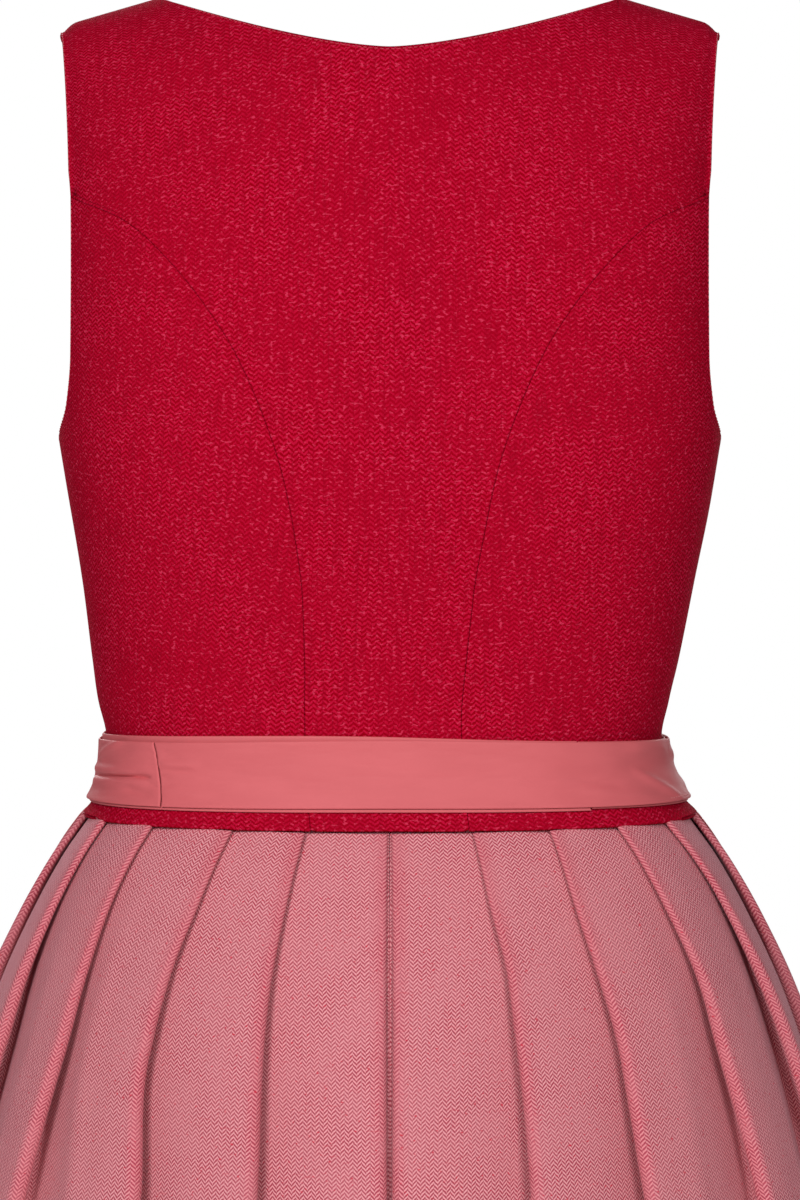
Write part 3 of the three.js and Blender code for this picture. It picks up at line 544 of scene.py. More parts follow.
def stitches(name, path, outward, material, slot, pitch=2.6, length=1.9, radius=0.24):
    """A row of single stitches along a path, each a small rounded bar of thread that dips
    into the cloth at both ends."""
    gone = travelled(path)
    starts = np.arange(pitch / 2, gone[-1] - length, pitch)
    where = starts[:, None] + STITCH_SHARES * length
    spots = along_line(path, gone, where)
    up = unit(along_line(outward, gone, where))
    ahead = unit(spots[:, -1:] - spots[:, :1])
    aside = unit(np.cross(ahead, up))
    turn = np.linspace(0, 2 * np.pi, STITCH_SIDES, endpoint=False)
    spots = spots + up * (STITCH_HEIGHTS * radius)[:, None]
    ring = np.cos(turn)[:, None] * aside[:, :, None] + np.sin(turn)[:, None] * up[:, :, None]
    points = spots[:, :, None] + ring * (STITCH_SIZES * radius)[:, None, None]
    faces = []
    rings, sides = len(STITCH_SHARES), STITCH_SIDES
    for i in range(len(starts)):
        base = i * rings * sides
        faces += tube_faces(base, rings, sides)
        faces.append(tuple(base + k for k in range(sides))[::-1])
        faces.append(tuple(base + (rings - 1) * sides + k for k in range(sides)))
    piece = make_mesh(name, points.reshape(-1, 3), faces, None, material)
    return piece


# Materials


class Wires:
    """Short calls for a material's nodes."""

    def __init__(self, name):
        self.material = bpy.data.materials.new(name)
        self.material.use_nodes = True
        self.tree = self.material.node_tree
        self.tree.nodes.clear()
        self.shader = self.node("ShaderNodeBsdfPrincipled")
        output = self.node("ShaderNodeOutputMaterial")
        self.tree.links.new(self.shader.outputs[0], output.inputs["Surface"])

    def node(self, kind, **settings):
        node = self.tree.nodes.new(kind)
        for key, value in settings.items():
            setattr(node, key, value)
        return node

    def feed(self, socket, value):
        if isinstance(value, bpy.types.NodeSocket):
            self.tree.links.new(value, socket)
        else:
            socket.default_value = value

    def math(self, operation, *values):
        node = self.node("ShaderNodeMath", operation=operation)
        for socket, value in zip(node.inputs, values):
            self.feed(socket, value)
        return node.outputs[0]

    def ramp(self, value, low, high, out_low=0.0, out_high=1.0):
        node = self.node("ShaderNodeMapRange", interpolation_type="SMOOTHSTEP")
        for socket, number in zip(node.inputs, (value, low, high, out_low, out_high)):
            self.feed(socket, number)
        return node.outputs[0]

    def stretch(self, vector, x, y, z=1.0):
        node = self.node("ShaderNodeVectorMath", operation="MULTIPLY")
        self.feed(node.inputs[0], vector)
        node.inputs[1].default_value = (x, y, z)
        return node.outputs[0]

    def noise(self, vector, scale, detail=2.0):
        node = self.node("ShaderNodeTexNoise")
        self.feed(node.inputs["Vector"], vector)
        node.inputs["Scale"].default_value = scale
        node.inputs["Detail"].default_value = detail
        return node.outputs["Fac"]

    def blend(self, factor, one, two, how="MIX"):
        node = self.node("ShaderNodeMix", data_type="RGBA", blend_type=how)
        self.feed(node.inputs[0], factor)
        for socket, value in ((node.inputs[6], one), (node.inputs[7], two)):
            self.feed(socket, (*value, 1) if isinstance(value, tuple) else value)
        return node.outputs[2]

    def cloth_mm(self):
        """The cloth's own flat coordinates, in millimetres."""
        uv = self.node("ShaderNodeUVMap", uv_map="cloth").outputs[0]
        mm = self.stretch(uv, PER_METRE, PER_METRE)
        split = self.node("ShaderNodeSeparateXYZ")
        self.feed(split.inputs[0], mm)
        return mm, split.outputs[0], split.outputs[1]

    def place_mm(self):
        """The place in space, in millimetres."""
        place = self.node("ShaderNodeNewGeometry").outputs["Position"]
        return self.stretch(place, PER_METRE, PER_METRE, PER_METRE)

    def bump(self, height, distance, strength=1.0, under=None):
        node = self.node("ShaderNodeBump")
        node.inputs["Strength"].default_value = strength
        node.inputs["Distance"].default_value = distance
        self.feed(node.inputs["Height"], height)
        if under is not None:
            self.feed(node.inputs["Normal"], under)
        return node.outputs[0]

    def sheen(self, weight, roughness, tint):
        self.finish(Sheen_Weight=weight, Sheen_Roughness=roughness, Sheen_Tint=(*tint, 1))

    def finish(self, **sockets):
        for name, value in sockets.items():
            self.feed(self.shader.inputs[name.replace("_", " ")], value)
        return self.material


# Limits between which a noise or a distance turns from nothing to its full share
LINE_EDGE = (0.26, 0.74)
CLOUD_EDGE = (0.36, 0.64)
PLY_EDGE = (0.35, 0.65)
PATINA_EDGE = (0.4, 0.62)
SATIN_CLOUD_EDGE = (0.3, 0.7)
SATIN_THREAD_EDGE = (0.35, 0.75)
DOT_FADE = 0.07
PICK_FADE = 0.1
# Millimetres from a pressed fold within which painted bounce light reddens the cloth, after it and
# before it
BOUNCE_AFTER = (1.0, 9.0)
BOUNCE_BEFORE = (PLEAT_CUT - 5.0, PLEAT_CUT - 1.0)
# Roughness as a share of a pattern and a base
CLOTH_ROUGHNESS = (-0.08, 0.9)
SATIN_ROUGHNESS = (0.14, 0.5)
THREAD_ROUGHNESS = (0.2, 0.45)
METAL_ROUGHNESS = (0.3, 0.24)
FLOOR_ROUGHNESS = (0.1, 0.7)


def herringbone(name, look):
    """Tweed in a herringbone weave: zigzag lines across the cloth, with slubs and mottling, and
    painted bounce light beside pressed folds where the look asks for it.
    """
    w = Wires(name)
    mm, u, v = w.cloth_mm()
    zig = w.math("PINGPONG", u, look["column"])
    drift = w.math("SUBTRACT", w.noise(mm, 0.8, 1.0), 0.5)
    climb = w.math("MULTIPLY_ADD", zig, look["climb"] / look["column"], v)
    climb = w.math("MULTIPLY_ADD", drift, look["drift"], climb)
    # The twill breaks where it turns from one column to the next
    column = w.math("FLOOR", w.math("DIVIDE", u, look["column"]))
    odd = w.math("PINGPONG", column, 1.0)
    climb = w.math("MULTIPLY_ADD", odd, look["spacing"] * look["break"], climb)
    turn = w.math("MULTIPLY", climb, 2 * math.pi / look["spacing"])
    stripe = w.math("MULTIPLY_ADD", w.math("SINE", turn), 0.5, 0.5)
    # Each line is a row of short yarns, uneven in thickness and colour
    yarn = w.noise(mm, look["yarn"], 2.0)
    line = w.math("MULTIPLY_ADD", yarn, 0.9, w.math("SUBTRACT", stripe, 0.45))
    line = w.ramp(line, *LINE_EDGE)
    light = look["light"]
    if look["crest"]:
        # Painted bounce light: beside each pressed fold the cloth is painted a redder rose, which
        # stands in for light reflected between the red folds
        fold = w.math("MODULO", w.math("ABSOLUTE", u), PLEAT_CUT)
        painted_bounce = w.math("SUBTRACT", 1.0, w.ramp(fold, *BOUNCE_AFTER))
        painted_bounce = w.math("ADD", painted_bounce, w.ramp(fold, *BOUNCE_BEFORE))
        light = w.blend(w.math("MULTIPLY", painted_bounce, look["painted_bounce_share"]), light, look["crest"])
    colour = w.blend(line, look["dark"], light)
    clouds = w.ramp(w.noise(mm, look["cloud_scale"], 4.0), *CLOUD_EDGE)
    colour = w.blend(w.math("MULTIPLY", clouds, look["mottle"]), colour, look["cloud"])
    # Slubs: bright dots, and short thick picks that run with the weft
    dots = w.noise(w.stretch(mm, *look["dot_stretch"]), 1.0, 1.0)
    dots = w.ramp(dots, look["dots"], look["dots"] + DOT_FADE)
    colour = w.blend(w.math("MULTIPLY", dots, look["fleck_share"]), colour, look["fleck"])
    picks = w.noise(w.stretch(mm, *look["pick_stretch"]), 1.0, 2.0)
    picks = w.ramp(picks, look["picks"], look["picks"] + PICK_FADE)
    colour = w.blend(w.math("MULTIPLY", picks, look["pick_share"]), colour, look["pick"])
    height = w.math("MULTIPLY_ADD", stripe, 0.6, w.math("MULTIPLY", yarn, 0.8))
    soft = w.bump(w.noise(mm, 0.06, 3.0), 0.0012, 0.35)
    normal = w.bump(height, look["relief"], 1.0, soft)
    roughness = w.math("MULTIPLY_ADD", line, *CLOTH_ROUGHNESS)
    w.sheen(look["sheen"], 0.42, look["sheen_tint"])
    w.finish(Specular_IOR_Level=look["shine"])
    return w.finish(Base_Color=colour, Roughness=roughness, Normal=normal)


def satin_cloth(name, base, shade):
    """Satin with fine threads along the band, a faint twill and slow changes of colour."""
    w = Wires(name)
    mm, u, v = w.cloth_mm()
    threads = w.noise(w.stretch(mm, 0.9, 6.0), 1.0, 2.0)
    slow = w.noise(w.stretch(mm, 0.02, 0.07), 1.0, 3.0)
    slow = w.math("MULTIPLY_ADD", w.ramp(slow, *SATIN_CLOUD_EDGE), 0.4, 0.6)
    colour = w.blend(slow, shade, base)
    dull = w.math("MULTIPLY", w.ramp(threads, *SATIN_THREAD_EDGE), 0.22)
    colour = w.blend(dull, colour, shade)
    twill = w.math("SINE", w.math("MULTIPLY", w.math("ADD", u, w.math("MULTIPLY", v, 2.0)), 9.0))
    height = w.math("MULTIPLY_ADD", twill, 0.15, threads)
    soft = w.bump(w.noise(w.stretch(mm, 0.03, 0.09), 1.0, 2.0), 0.003, 0.3)
    normal = w.bump(height, 0.00006, 1.0, soft)
    roughness = w.math("MULTIPLY_ADD", threads, *SATIN_ROUGHNESS)
    w.sheen(0.1, 0.35, (1.0, 0.6, 0.6))
    w.finish(Specular_IOR_Level=0.24, Anisotropic=0.35)
    return w.finish(Base_Color=colour, Roughness=roughness, Normal=normal)


def thread(name, base, shade):
    w = Wires(name)
    ply = w.noise(w.place_mm(), 2.2, 2.0)
    colour = w.blend(w.ramp(ply, *PLY_EDGE), shade, base)
    roughness = w.math("MULTIPLY_ADD", ply, *THREAD_ROUGHNESS)
    w.finish(Sheen_Weight=0.3)
    return w.finish(Base_Color=colour, Roughness=roughness, Normal=w.bump(ply, 0.0001))


PATINA = (0.2, 0.185, 0.16)
RUBBED = (0.5, 0.47, 0.42)


def button_metal(name):
    """Cast metal with a dark patina in its hollows and rubbed high spots."""
    w = Wires(name)
    spot = w.place_mm()
    grain = w.noise(spot, 1.6, 4.0)
    fine = w.noise(spot, 7.0, 2.0)
    colour = w.blend(w.ramp(grain, *PATINA_EDGE), PATINA, RUBBED)
    height = w.math("MULTIPLY_ADD", fine, 0.3, grain)
    w.finish(Metallic=1.0)
    roughness = w.math("MULTIPLY_ADD", grain, *METAL_ROUGHNESS)
    return w.finish(Base_Color=colour, Roughness=roughness, Normal=w.bump(height, 0.00018, 0.6))


def floor_paint(name):
    w = Wires(name)
    spot = w.node("ShaderNodeNewGeometry").outputs["Position"]
    grain = w.noise(spot, 60.0, 3.0)
    colour = w.blend(grain, (0.8, 0.8, 0.8), (0.84, 0.84, 0.84))
    roughness = w.math("MULTIPLY_ADD", grain, *FLOOR_ROUGHNESS)
    return w.finish(Base_Color=colour, Roughness=roughness)


# Sizes in millimetres, scales in noise cells to the millimetre, shares from 0 to 1
BODICE_LOOK = {
    "column": 2.3, "climb": 1.6, "spacing": 2.3, "drift": 1.2, "yarn": 1.3,
    "dark": (0.28, 0.0003, 0.006), "light": (0.5, 0.005, 0.036), "cloud": (0.36, 0.001, 0.015),
    "cloud_scale": 0.024, "mottle": 0.6, "dot_stretch": (0.42, 0.75), "dots": 0.6,
    "fleck_share": 0.75, "fleck": (0.62, 0.035, 0.09), "pick_stretch": (0.6, 0.05),
    "picks": 0.52, "pick_share": 0.45, "pick": (0.3, 0.001, 0.012),
    "relief": 0.0003, "sheen": 0.03, "sheen_tint": (0.8, 0.08, 0.2), "shine": 0.012,
    "break": 0.3, "crest": None, "painted_bounce_share": 0.0,
}
SKIRT_LOOK = {
    "column": 2.0, "climb": 1.95, "spacing": 1.95, "drift": 0.5, "yarn": 1.2,
    "dark": (0.4, 0.055, 0.085), "light": (0.79, 0.33, 0.36), "cloud": (0.65, 0.23, 0.26),
    "cloud_scale": 0.045, "mottle": 0.25, "dot_stretch": (0.5, 0.7), "dots": 0.68,
    "fleck_share": 0.85, "fleck": (0.58, 0.02, 0.05), "pick_stretch": (0.09, 1.1),
    "picks": 0.62, "pick_share": 0.4, "pick": (0.55, 0.05, 0.08),
    "relief": 0.00025, "sheen": 0.22, "sheen_tint": (0.7, 0.62, 0.7), "shine": 0.06,
    # crest: the colour of the painted bounce light beside the folds
    "break": 0.35, "crest": (0.66, 0.15, 0.18), "painted_bounce_share": 0.55,
}
bodice_cloth = herringbone("bodice_herringbone", BODICE_LOOK)
skirt_cloth = herringbone("skirt_herringbone", SKIRT_LOOK)
satin = satin_cloth("coral_satin", (0.63, 0.124, 0.138), (0.55, 0.098, 0.11))
red_thread = thread("red_thread", (0.6, 0.02, 0.06), (0.36, 0.006, 0.025))
satin_thread = thread("satin_thread", (0.7, 0.2, 0.21), (0.5, 0.1, 0.11))
metal = button_metal("button_metal_cast")


# Bodice

# Angles by which the panels stop short of a seam's middle
HALF_GAP = 0.0001
BACK_SEAM = 0.0002
# The cloth's rise beside a seam, on the centre panels and fronts and on the side panels
SEAM_RIDGE = 0.95
SEAM_PUFF = -0.12
SEAM_RIDGE_WIDTH = 1.3
SEAM_RIDGE_AT = 0.5
SIDE_GRAIN_TILT = 4.0
# How far apart the points of a panel lie
CELL = 3.0
STRAP_CELL = 2.6
HALF_STRAP = 45.0
HALF_NECK = 115.0
# Flat cuts in metres
BACK_SIDE_FLAT = (0.17, 0.32)
FRONT_SIDE_FLAT = (0.16, 0.3)
# Stretches with closer rows, each from one height to another with a step
UNDERARM_ROWS = ((UNDERARM - 0.2, -202, 0.16), (-201.9, -190, 0.6))
NECK_ROWS = ((FRONT_NECK_LOW, -158, 0.1), (-157.9, -150, 0.4))
FRONT_ROWS_TOP = -35
BACK_STRAP_ROWS = 40
BACK_STRAP_SPREAD = 0.9
FRONT_STRAP_ROWS = 34
FRONT_STRAP_SPREAD = 0.6
ARMHOLE_BLEND = 0.08
NECK_TOP_LEVEL = 1.97
NECK_RAMP = 2
STITCH_INSET = 1.8
STITCH_SHORT = 6
STITCH_START = 4
LINE_NORMAL = 4
TURNED_SIDES = ("left", "right", "high")


def puffed(middle, sides, rise):
    """Lets the cloth rise beside its seams, as over an allowance turned under it."""
    distances = edge_distance(middle)
    near = np.min([distances[side] for side in sides], axis=0)
    lift = rise * np.exp(-((near / SEAM_RIDGE_WIDTH - SEAM_RIDGE_AT) ** 2))
    return middle + grid_normals(middle) * lift[..., None]


def row_heights(low, high, close=()):
    """Heights of a panel's rows, with more of them where an edge runs nearly level."""
    length = high - low
    rows = low + length * spaced([length], CELL)[0]
    for start, end, step in close:
        rows = rows[(rows < start) | (rows > end)]
        rows = np.sort(np.concatenate([rows, np.arange(start, end, step), [end]]))
    return rows


def low_level(theta, z):
    """The level at a height, where the lowest row follows the waist seam."""
    z = np.broadcast_to(z, theta.shape)
    level = level_of(theta, z)
    seam = seam_height(theta)
    near = (z - seam) / (UNDERARM - seam)
    return np.where(z <= UNDERARM, near, level)


def bodice_grid(theta_from, theta_to, rows):
    """Angles and levels between two seams, with rows at the given heights."""
    heights = rows[:, None]
    trial = mix(theta_from[:, None], theta_to[:, None], np.linspace(0, 1, 9))
    spots = bodice_surface(trial, low_level(trial, heights))
    lengths = np.linalg.norm(np.diff(spots, axis=1), axis=-1).sum(1)
    theta = mix(theta_from[:, None], theta_to[:, None], spaced(lengths, CELL))
    return theta, low_level(theta, heights)


def bodice_piece(node, theta, level, lift, on_right, puff, tilt=0.0):
    """One panel. Those on the wearer's right are given by their mirrored angles."""
    theta = np.pi - theta if on_right else theta
    middle = bodice_point(theta, level, lift - BODICE_WALL / 2)
    middle = puffed(middle, puff, SEAM_PUFF if "side" in node else SEAM_RIDGE)
    uv = cloth_uv(theta, level, -tilt if on_right else tilt)
    outward = middle * (1, 1, 0)
    facing = (grid_normals(middle) * outward).sum(-1).mean()
    side = 1 if facing > 0 else -1
    piece = cloth(f"{node}_cloth", middle, BODICE_WALL, uv, bodice_cloth, side, TURNED_SIDES)
    finished(piece, node)
    return middle, grid_normals(middle) * side


def inward_lines(grid, side):
    """A grid's lines that run inward from one of its sides."""
    if side == "high":
        return grid[::-1].swapaxes(0, 1)
    return grid if side == "left" else grid[:, ::-1]


def edge_stitches(name, middle, normals, side, span):
    outer = middle + normals * BODICE_WALL / 2
    path = inset_path(inward_lines(outer, side)[span], STITCH_INSET)
    up = inward_lines(normals, side)[span][:, LINE_NORMAL]
    stitches(name, path, up, red_thread, "bodice_cloth")


def back_top_level(theta):
    x, _y = ring_spot(theta, shoulder_section(np.ones_like(theta)))
    share = np.clip(np.abs(x) / BACK_NECK_HALF, 0, 1) ** BACK_NECK_POWER
    neckline = np.minimum(NECK_TOP_LEVEL, level_of(theta, -BACK_NECK_DEPTH * (1 - share)))
    ramp = smooth(BACK_NECK_HALF, BACK_NECK_HALF + NECK_RAMP, np.abs(x))
    return mix(neckline, SHOULDER_SEAM_LEVEL - SHOULDER_SEAM_GAP, ramp)


def back_centre():
    rows = row_heights(WAIST_SEAM, BACK_SPLIT)
    neck = float(theta_of(NECK_HALF, 0.0, 1))
    seams = theta_of(back_princess(rows), rows, 1) + BACK_SEAM
    seam_end = float(seams[-1])
    neck_share = (neck - seam_end) / (np.pi / 2 - seam_end)
    shares = np.linspace(0, 1, BACK_STRAP_ROWS) ** BACK_STRAP_SPREAD
    strap = spaced([HALF_STRAP], STRAP_CELL)[0]
    across = spaced([HALF_NECK], CELL)[0]

    def half_row(side, turn):
        return np.concatenate([mix(side, turn, strap), mix(turn, np.pi / 2, across)[1:]])

    low = np.array([half_row(side, mix(side, np.pi / 2, neck_share)) for side in seams])
    low_levels = low_level(low, rows[:, None])
    high = []
    for share in shares[1:]:
        side = math.radians(float(back_armhole(mix(BACK_SPLIT, 0, share))))
        high.append(half_row(mix(seam_end, side, float(smooth(0, ARMHOLE_BLEND, share))), neck))
    high = np.array(high)
    base = level_of(high, np.full(high.shape, BACK_SPLIT))
    high_levels = mix(base, back_top_level(high), shares[1:, None])
    theta = np.concatenate([low, high])
    level = np.concatenate([low_levels, high_levels])
    theta = np.concatenate([theta, np.pi - theta[:, -2::-1]], 1)
    level = np.concatenate([level, level[:, -2::-1]], 1)
    lift = np.zeros(theta.shape)
    middle, normals = bodice_piece(
        "back_centre", theta, level, lift, False, ("left", "right")
    )
    count = middle.shape[1]
    neck_columns = slice(len(strap) + STITCH_SHORT, count - len(strap) - STITCH_SHORT)
    edge_stitches("neck_back_stitches", middle, normals, "high", neck_columns)
    straps = slice(len(rows), len(rows) + len(shares) - 2)
    for side in ("left", "right"):
        edge_stitches(f"strap_back_stitches_{side}", middle, normals, side, straps)


def side_piece(node, behind, on_right):
    split = BACK_SPLIT if behind else FRONT_SPLIT
    rows = row_heights(WAIST_SEAM, split, UNDERARM_ROWS)
    princess, armhole = (back_princess, back_armhole) if behind else (front_princess, front_armhole)
    way, trim, flat = (
        (1, BACK_SEAM, BACK_SIDE_FLAT) if behind else (-1, HALF_GAP, FRONT_SIDE_FLAT)
    )
    seam = theta_of(princess(rows), rows, way) - way * trim
    outer = way * np.where(rows <= UNDERARM, HALF_GAP, np.radians(armhole(rows)))
    tip = seam - way * math.radians(TIP_ANGLE)
    outer = np.minimum(outer, tip) if behind else np.maximum(outer, tip)
    theta, level = bodice_grid(outer, seam, rows)
    middle, normals = bodice_piece(
        node, theta, level, np.zeros(theta.shape), on_right, ("right",),
        math.radians(SIDE_GRAIN_TILT),
    )
    above = np.flatnonzero(rows > UNDERARM + 3)
    span = slice(above[0], above[-1] - STITCH_START)
    edge_stitches(f"armhole_stitches_{node}", middle, normals, "left", span)


def lap_lift(theta, level):
    x = bodice_surface(theta, level)[..., 0]
    return -LAP_SINK * (1 - smooth(LAP, LAP + LAP_RAMP, x))


def front(node, on_right):
    above = row_heights(FRONT_NECK_LOW, FRONT_ROWS_TOP, NECK_ROWS)
    rows = np.concatenate([row_heights(WAIST_SEAM, FRONT_NECK_LOW), above[1:]])
    strap_levels = np.linspace(0, 1, FRONT_STRAP_ROWS)[1:]
    strap_shares = strap_levels ** FRONT_STRAP_SPREAD
    inner_x = np.where(rows <= FRONT_NECK_LOW, -LAP, front_neck(rows))
    # The lap's upper corner is cut down to the neckline
    inner_x = mix(inner_x, front_neck(rows), smooth(FRONT_NECK_LOW - 2, FRONT_NECK_LOW, rows))
    inner = theta_of(np.abs(inner_x), rows, -1)
    inner = np.where(inner_x < 0, -np.pi - inner, inner)
    seam = theta_of(front_princess(rows), rows, -1) - HALF_GAP
    outer = np.where(rows <= FRONT_SPLIT, seam, -np.radians(front_armhole(rows)))
    theta_low, level_low = bodice_grid(inner, outer, rows)
    share = (theta_low[-1] - theta_low[-1, 0]) / (theta_low[-1, -1] - theta_low[-1, 0])
    top_from = float(theta_of(NECK_HALF, 0.0, -1))
    top_to = -math.radians(float(front_armhole(0.0)))
    starts = mix(theta_low[-1, 0], top_from, strap_shares)
    ends = mix(theta_low[-1, -1], top_to, strap_shares)
    theta_high = mix(starts[:, None], ends[:, None], share)
    top = 2 * RIDGE_LEVEL - SHOULDER_SEAM_LEVEL - SHOULDER_SEAM_GAP
    level_high = mix(level_low[-1], top, strap_levels[:, None])
    theta = np.concatenate([theta_low, theta_high])
    level = np.concatenate([level_low, level_high])
    lift = np.zeros(theta.shape) if on_right else lap_lift(theta, level)
    middle, normals = bodice_piece(node, theta, level, lift, on_right, ("right",))
    first = int(np.flatnonzero(rows > FRONT_NECK_LOW + 1)[0])
    open_from = int(np.flatnonzero(rows > FRONT_SPLIT + 2)[0])
    for kind, side, span in (
        ("neck", "left", slice(first, -STITCH_SHORT)),
        ("lap", "left", slice(0, first - STITCH_START)),
        ("strap", "right", slice(open_from, -STITCH_SHORT)),
    ):
        edge_stitches(f"{kind}_stitches_{node}", middle, normals, side, span)


BUTTON_TOP = -176
BUTTON_BOTTOM = -332
BUTTON_SEATS = (0.43, 1.45, 0.76, 1.02, 0.69, 0.54)
# Radius and height from the middle of the foot to the middle of the top
BUTTON_PROFILE = (
    (0, 0), (5.6, 0), (6.2, 0.15), (6.5, 0.6), (6.5, 1.1), (6.3, 1.5), (5.9, 1.65), (5.55, 1.55),
    (5.3, 1.7), (4.9, 2.3), (4.2, 2.85), (3.3, 3.25), (2.2, 3.48), (1.1, 3.58), (0.25, 3.6),
)


BUTTON_SIDES = 48
BUTTONHOLE_ANGLES = np.linspace(-0.055, 0.11, 30)
BUTTONHOLE_LIFT = 0.1
BUTTONHOLE_BARS = {"pitch": 1.2, "length": 1.05, "radius": 0.75}


def button(number, foot, up):
    profile = np.array(BUTTON_PROFILE)
    aside = unit(np.cross(up, (0, 0, 1)))
    along = np.cross(up, aside)
    turn = np.linspace(0, 2 * np.pi, BUTTON_SIDES, endpoint=False)
    ring = np.cos(turn)[:, None] * aside + np.sin(turn)[:, None] * along
    body = profile[1:, 0][:, None, None] * ring + profile[1:, 1][:, None, None] * up
    points = np.concatenate([[foot], foot + body.reshape(-1, 3)])
    around = range(BUTTON_SIDES)
    faces = [(0, 1 + (k + 1) % BUTTON_SIDES, 1 + k) for k in around]
    faces += tube_faces(1, len(profile) - 1, BUTTON_SIDES)
    faces.append(tuple(1 + (len(profile) - 2) * BUTTON_SIDES + k for k in around))
    piece = make_mesh(f"button_{number}_domed", points, faces, None, metal)
    finished(piece, f"button_{number}")


def buttonhole(number, theta, z, up):
    """A close row of short bars of thread that runs towards the lap's edge."""
    angles = theta + BUTTONHOLE_ANGLES
    spots = [bodice_point(angle, level_of(angle, z), BUTTONHOLE_LIFT) for angle in angles]
    ups = np.array([up] * len(spots))
    stitches(
        f"buttonhole_{number}", np.array(spots), ups, red_thread, "bodice_cloth", **BUTTONHOLE_BARS
    )


def buttons():
    for i, seat in enumerate(BUTTON_SEATS):
        z = float(mix(BUTTON_TOP, BUTTON_BOTTOM, i / (len(BUTTON_SEATS) - 1)))
        theta = theta_of(0.0, z, -1)
        level = level_of(theta, z)
        up = unit(bodice_point(theta, level, 1.0) - bodice_point(theta, level, 0.0))
        button(i + 1, bodice_point(theta, level, seat), up)
        buttonhole(i + 1, theta, z, up)


# Skirt

# Where the folds lie, as a count of even pleats from the centre back, on each side
LEFT_FOLDS = (
    ("z", 1, 2, 3, 4),
    (-381, 1.068, 2.0, 3.13, 4.03),
    (-412, 1.12, 2.1, 3.18, 4.05),
    (-445, 1.14, 2.18, 3.14, 4.01),
    (-480, 1.13, 2.18, 3.09, 3.95),
    (-545, 1.075, 2.03, 3.11, 4.02),
    (-640, 1.04, 2.02, 3.06, 4.02),
)
RIGHT_FOLDS = (
    ("z", 1, 2, 3, 4),
    (-381, 1.05, 2.03, 2.97, 3.82),
    (-412, 1.09, 2.02, 3.1, 4.03),
    (-445, 1.17, 2.05, 3.16, 4.1),
    (-480, 1.17, 2.1, 3.11, 4.14),
    (-545, 1.125, 2.1, 3.16, 4.17),
    (-640, 1.06, 2.06, 3.1, 4.1),
)
FOLD_SOFTNESS = (
    ("z", "radius", "bulge"),
    (-380, 1.2, 0.0),
    (-400, 1.3, 0.1),
    (-430, 2.0, 0.4),
    (-460, 2.9, 0.8),
    (-550, 4.4, 1.7),
    (-650, 5.8, 2.4),
    (-820, 8.5, 3.0),
    (-1060, 14, 4.0),
)
# The lines that show are the rims of rolled folds, so the rolls themselves lie further out, by
# these shares of a roll's radius, first at the placed folds and then at those after them
ROLL_SHIFT = (0.3, 0.7, 1.4, 2.3)
SIDE_SHIFT = (1.4, 0.9, 0.4)
EVEN_BETWEEN = (-560, -780)
SOFT_BETWEEN = (-385, -470)
# Slow waves: how far, the height of one radian, and the turn from one pleat to the next
FOLD_DRIFT = (0.9, 31, 1.9)
BULGE_CHANGE = (0.35, 140, 2.3)
RIDGE_DRIFT = (0.1, 200, 1.7)
BULGE_SHARE = 0.8
RIDGED_FROM = 2
RIDGE_WIDTH = 0.1
RIDGE_PLACE = 0.42
RIDGE_RISE = 1.1
RIDGE_RISE_CHANGE = 0.6
RIDGE_RISE_TURN = 2.9
fold_radius = curve(FOLD_SOFTNESS, "radius")
face_bulge = curve(FOLD_SOFTNESS, "bulge")
TURN_STEPS = 5
FACE_SHARES = np.linspace(0, 1, 17)[1:]
UNDER_STEPS = 4
SLOPE_BETWEEN = (-1.2, -0.001)
SLOPE_ROUNDS = 50
# The underlay in the middle swells up where the two crests beside it lie close
SWELL_BETWEEN = (-660, -560)
UNDERLAY_SWELL = 0.58
UNDERLAY_SLOPE = -0.2
# Its points on the way to the knee: share of the way, of the rise to the knee and of the swell
UNDERLAY_POINTS = ((0.24, 0.0, 0.45), (0.5, 0.25, 0.18))
SKIRT_TOP_ROWS = (-380.5, -381.0, -381.6, -382.4, -383.6, -385.2, -387.2, -389.6, -392.4)
HEM_ROWS = (3.2, 1.6, 0.7, 0.2, 0)
ROW_STEPS = (3.0, 11.0)
ROW_STEPS_BETWEEN = (-400, -750)
RING_ROAD_POINTS = 720
RING_STEP = 2e-3
# Flat cuts in metres
SKIRT_PARTS = (("back", 0.62), ("front", 0.56))
SKIRT_FLAT_LENGTH = 0.73


def pleat_shape(pitch, turn, radius):
    """The slope of a pleat's face at which its cut takes up the given pitch."""

    def measure(slope):
        bend = 2 * radius * (turn - slope)
        lift = 2 * radius * (math.cos(slope) - math.cos(turn))
        under = -((PLEAT_CUT - bend) * math.sin(slope) + lift) / (math.sin(turn) - math.sin(slope))
        face = PLEAT_CUT - bend - under
        along = face * math.cos(slope) + under * math.cos(turn)
        return face, under, along + 2 * radius * (math.sin(turn) - math.sin(slope))

    steep, flat = SLOPE_BETWEEN
    for _round in range(SLOPE_ROUNDS):
        middle = (steep + flat) / 2
        if measure(middle)[2] < pitch:
            steep = middle
        else:
            flat = middle
    slope = (steep + flat) / 2
    return slope, *measure(slope)[:2]


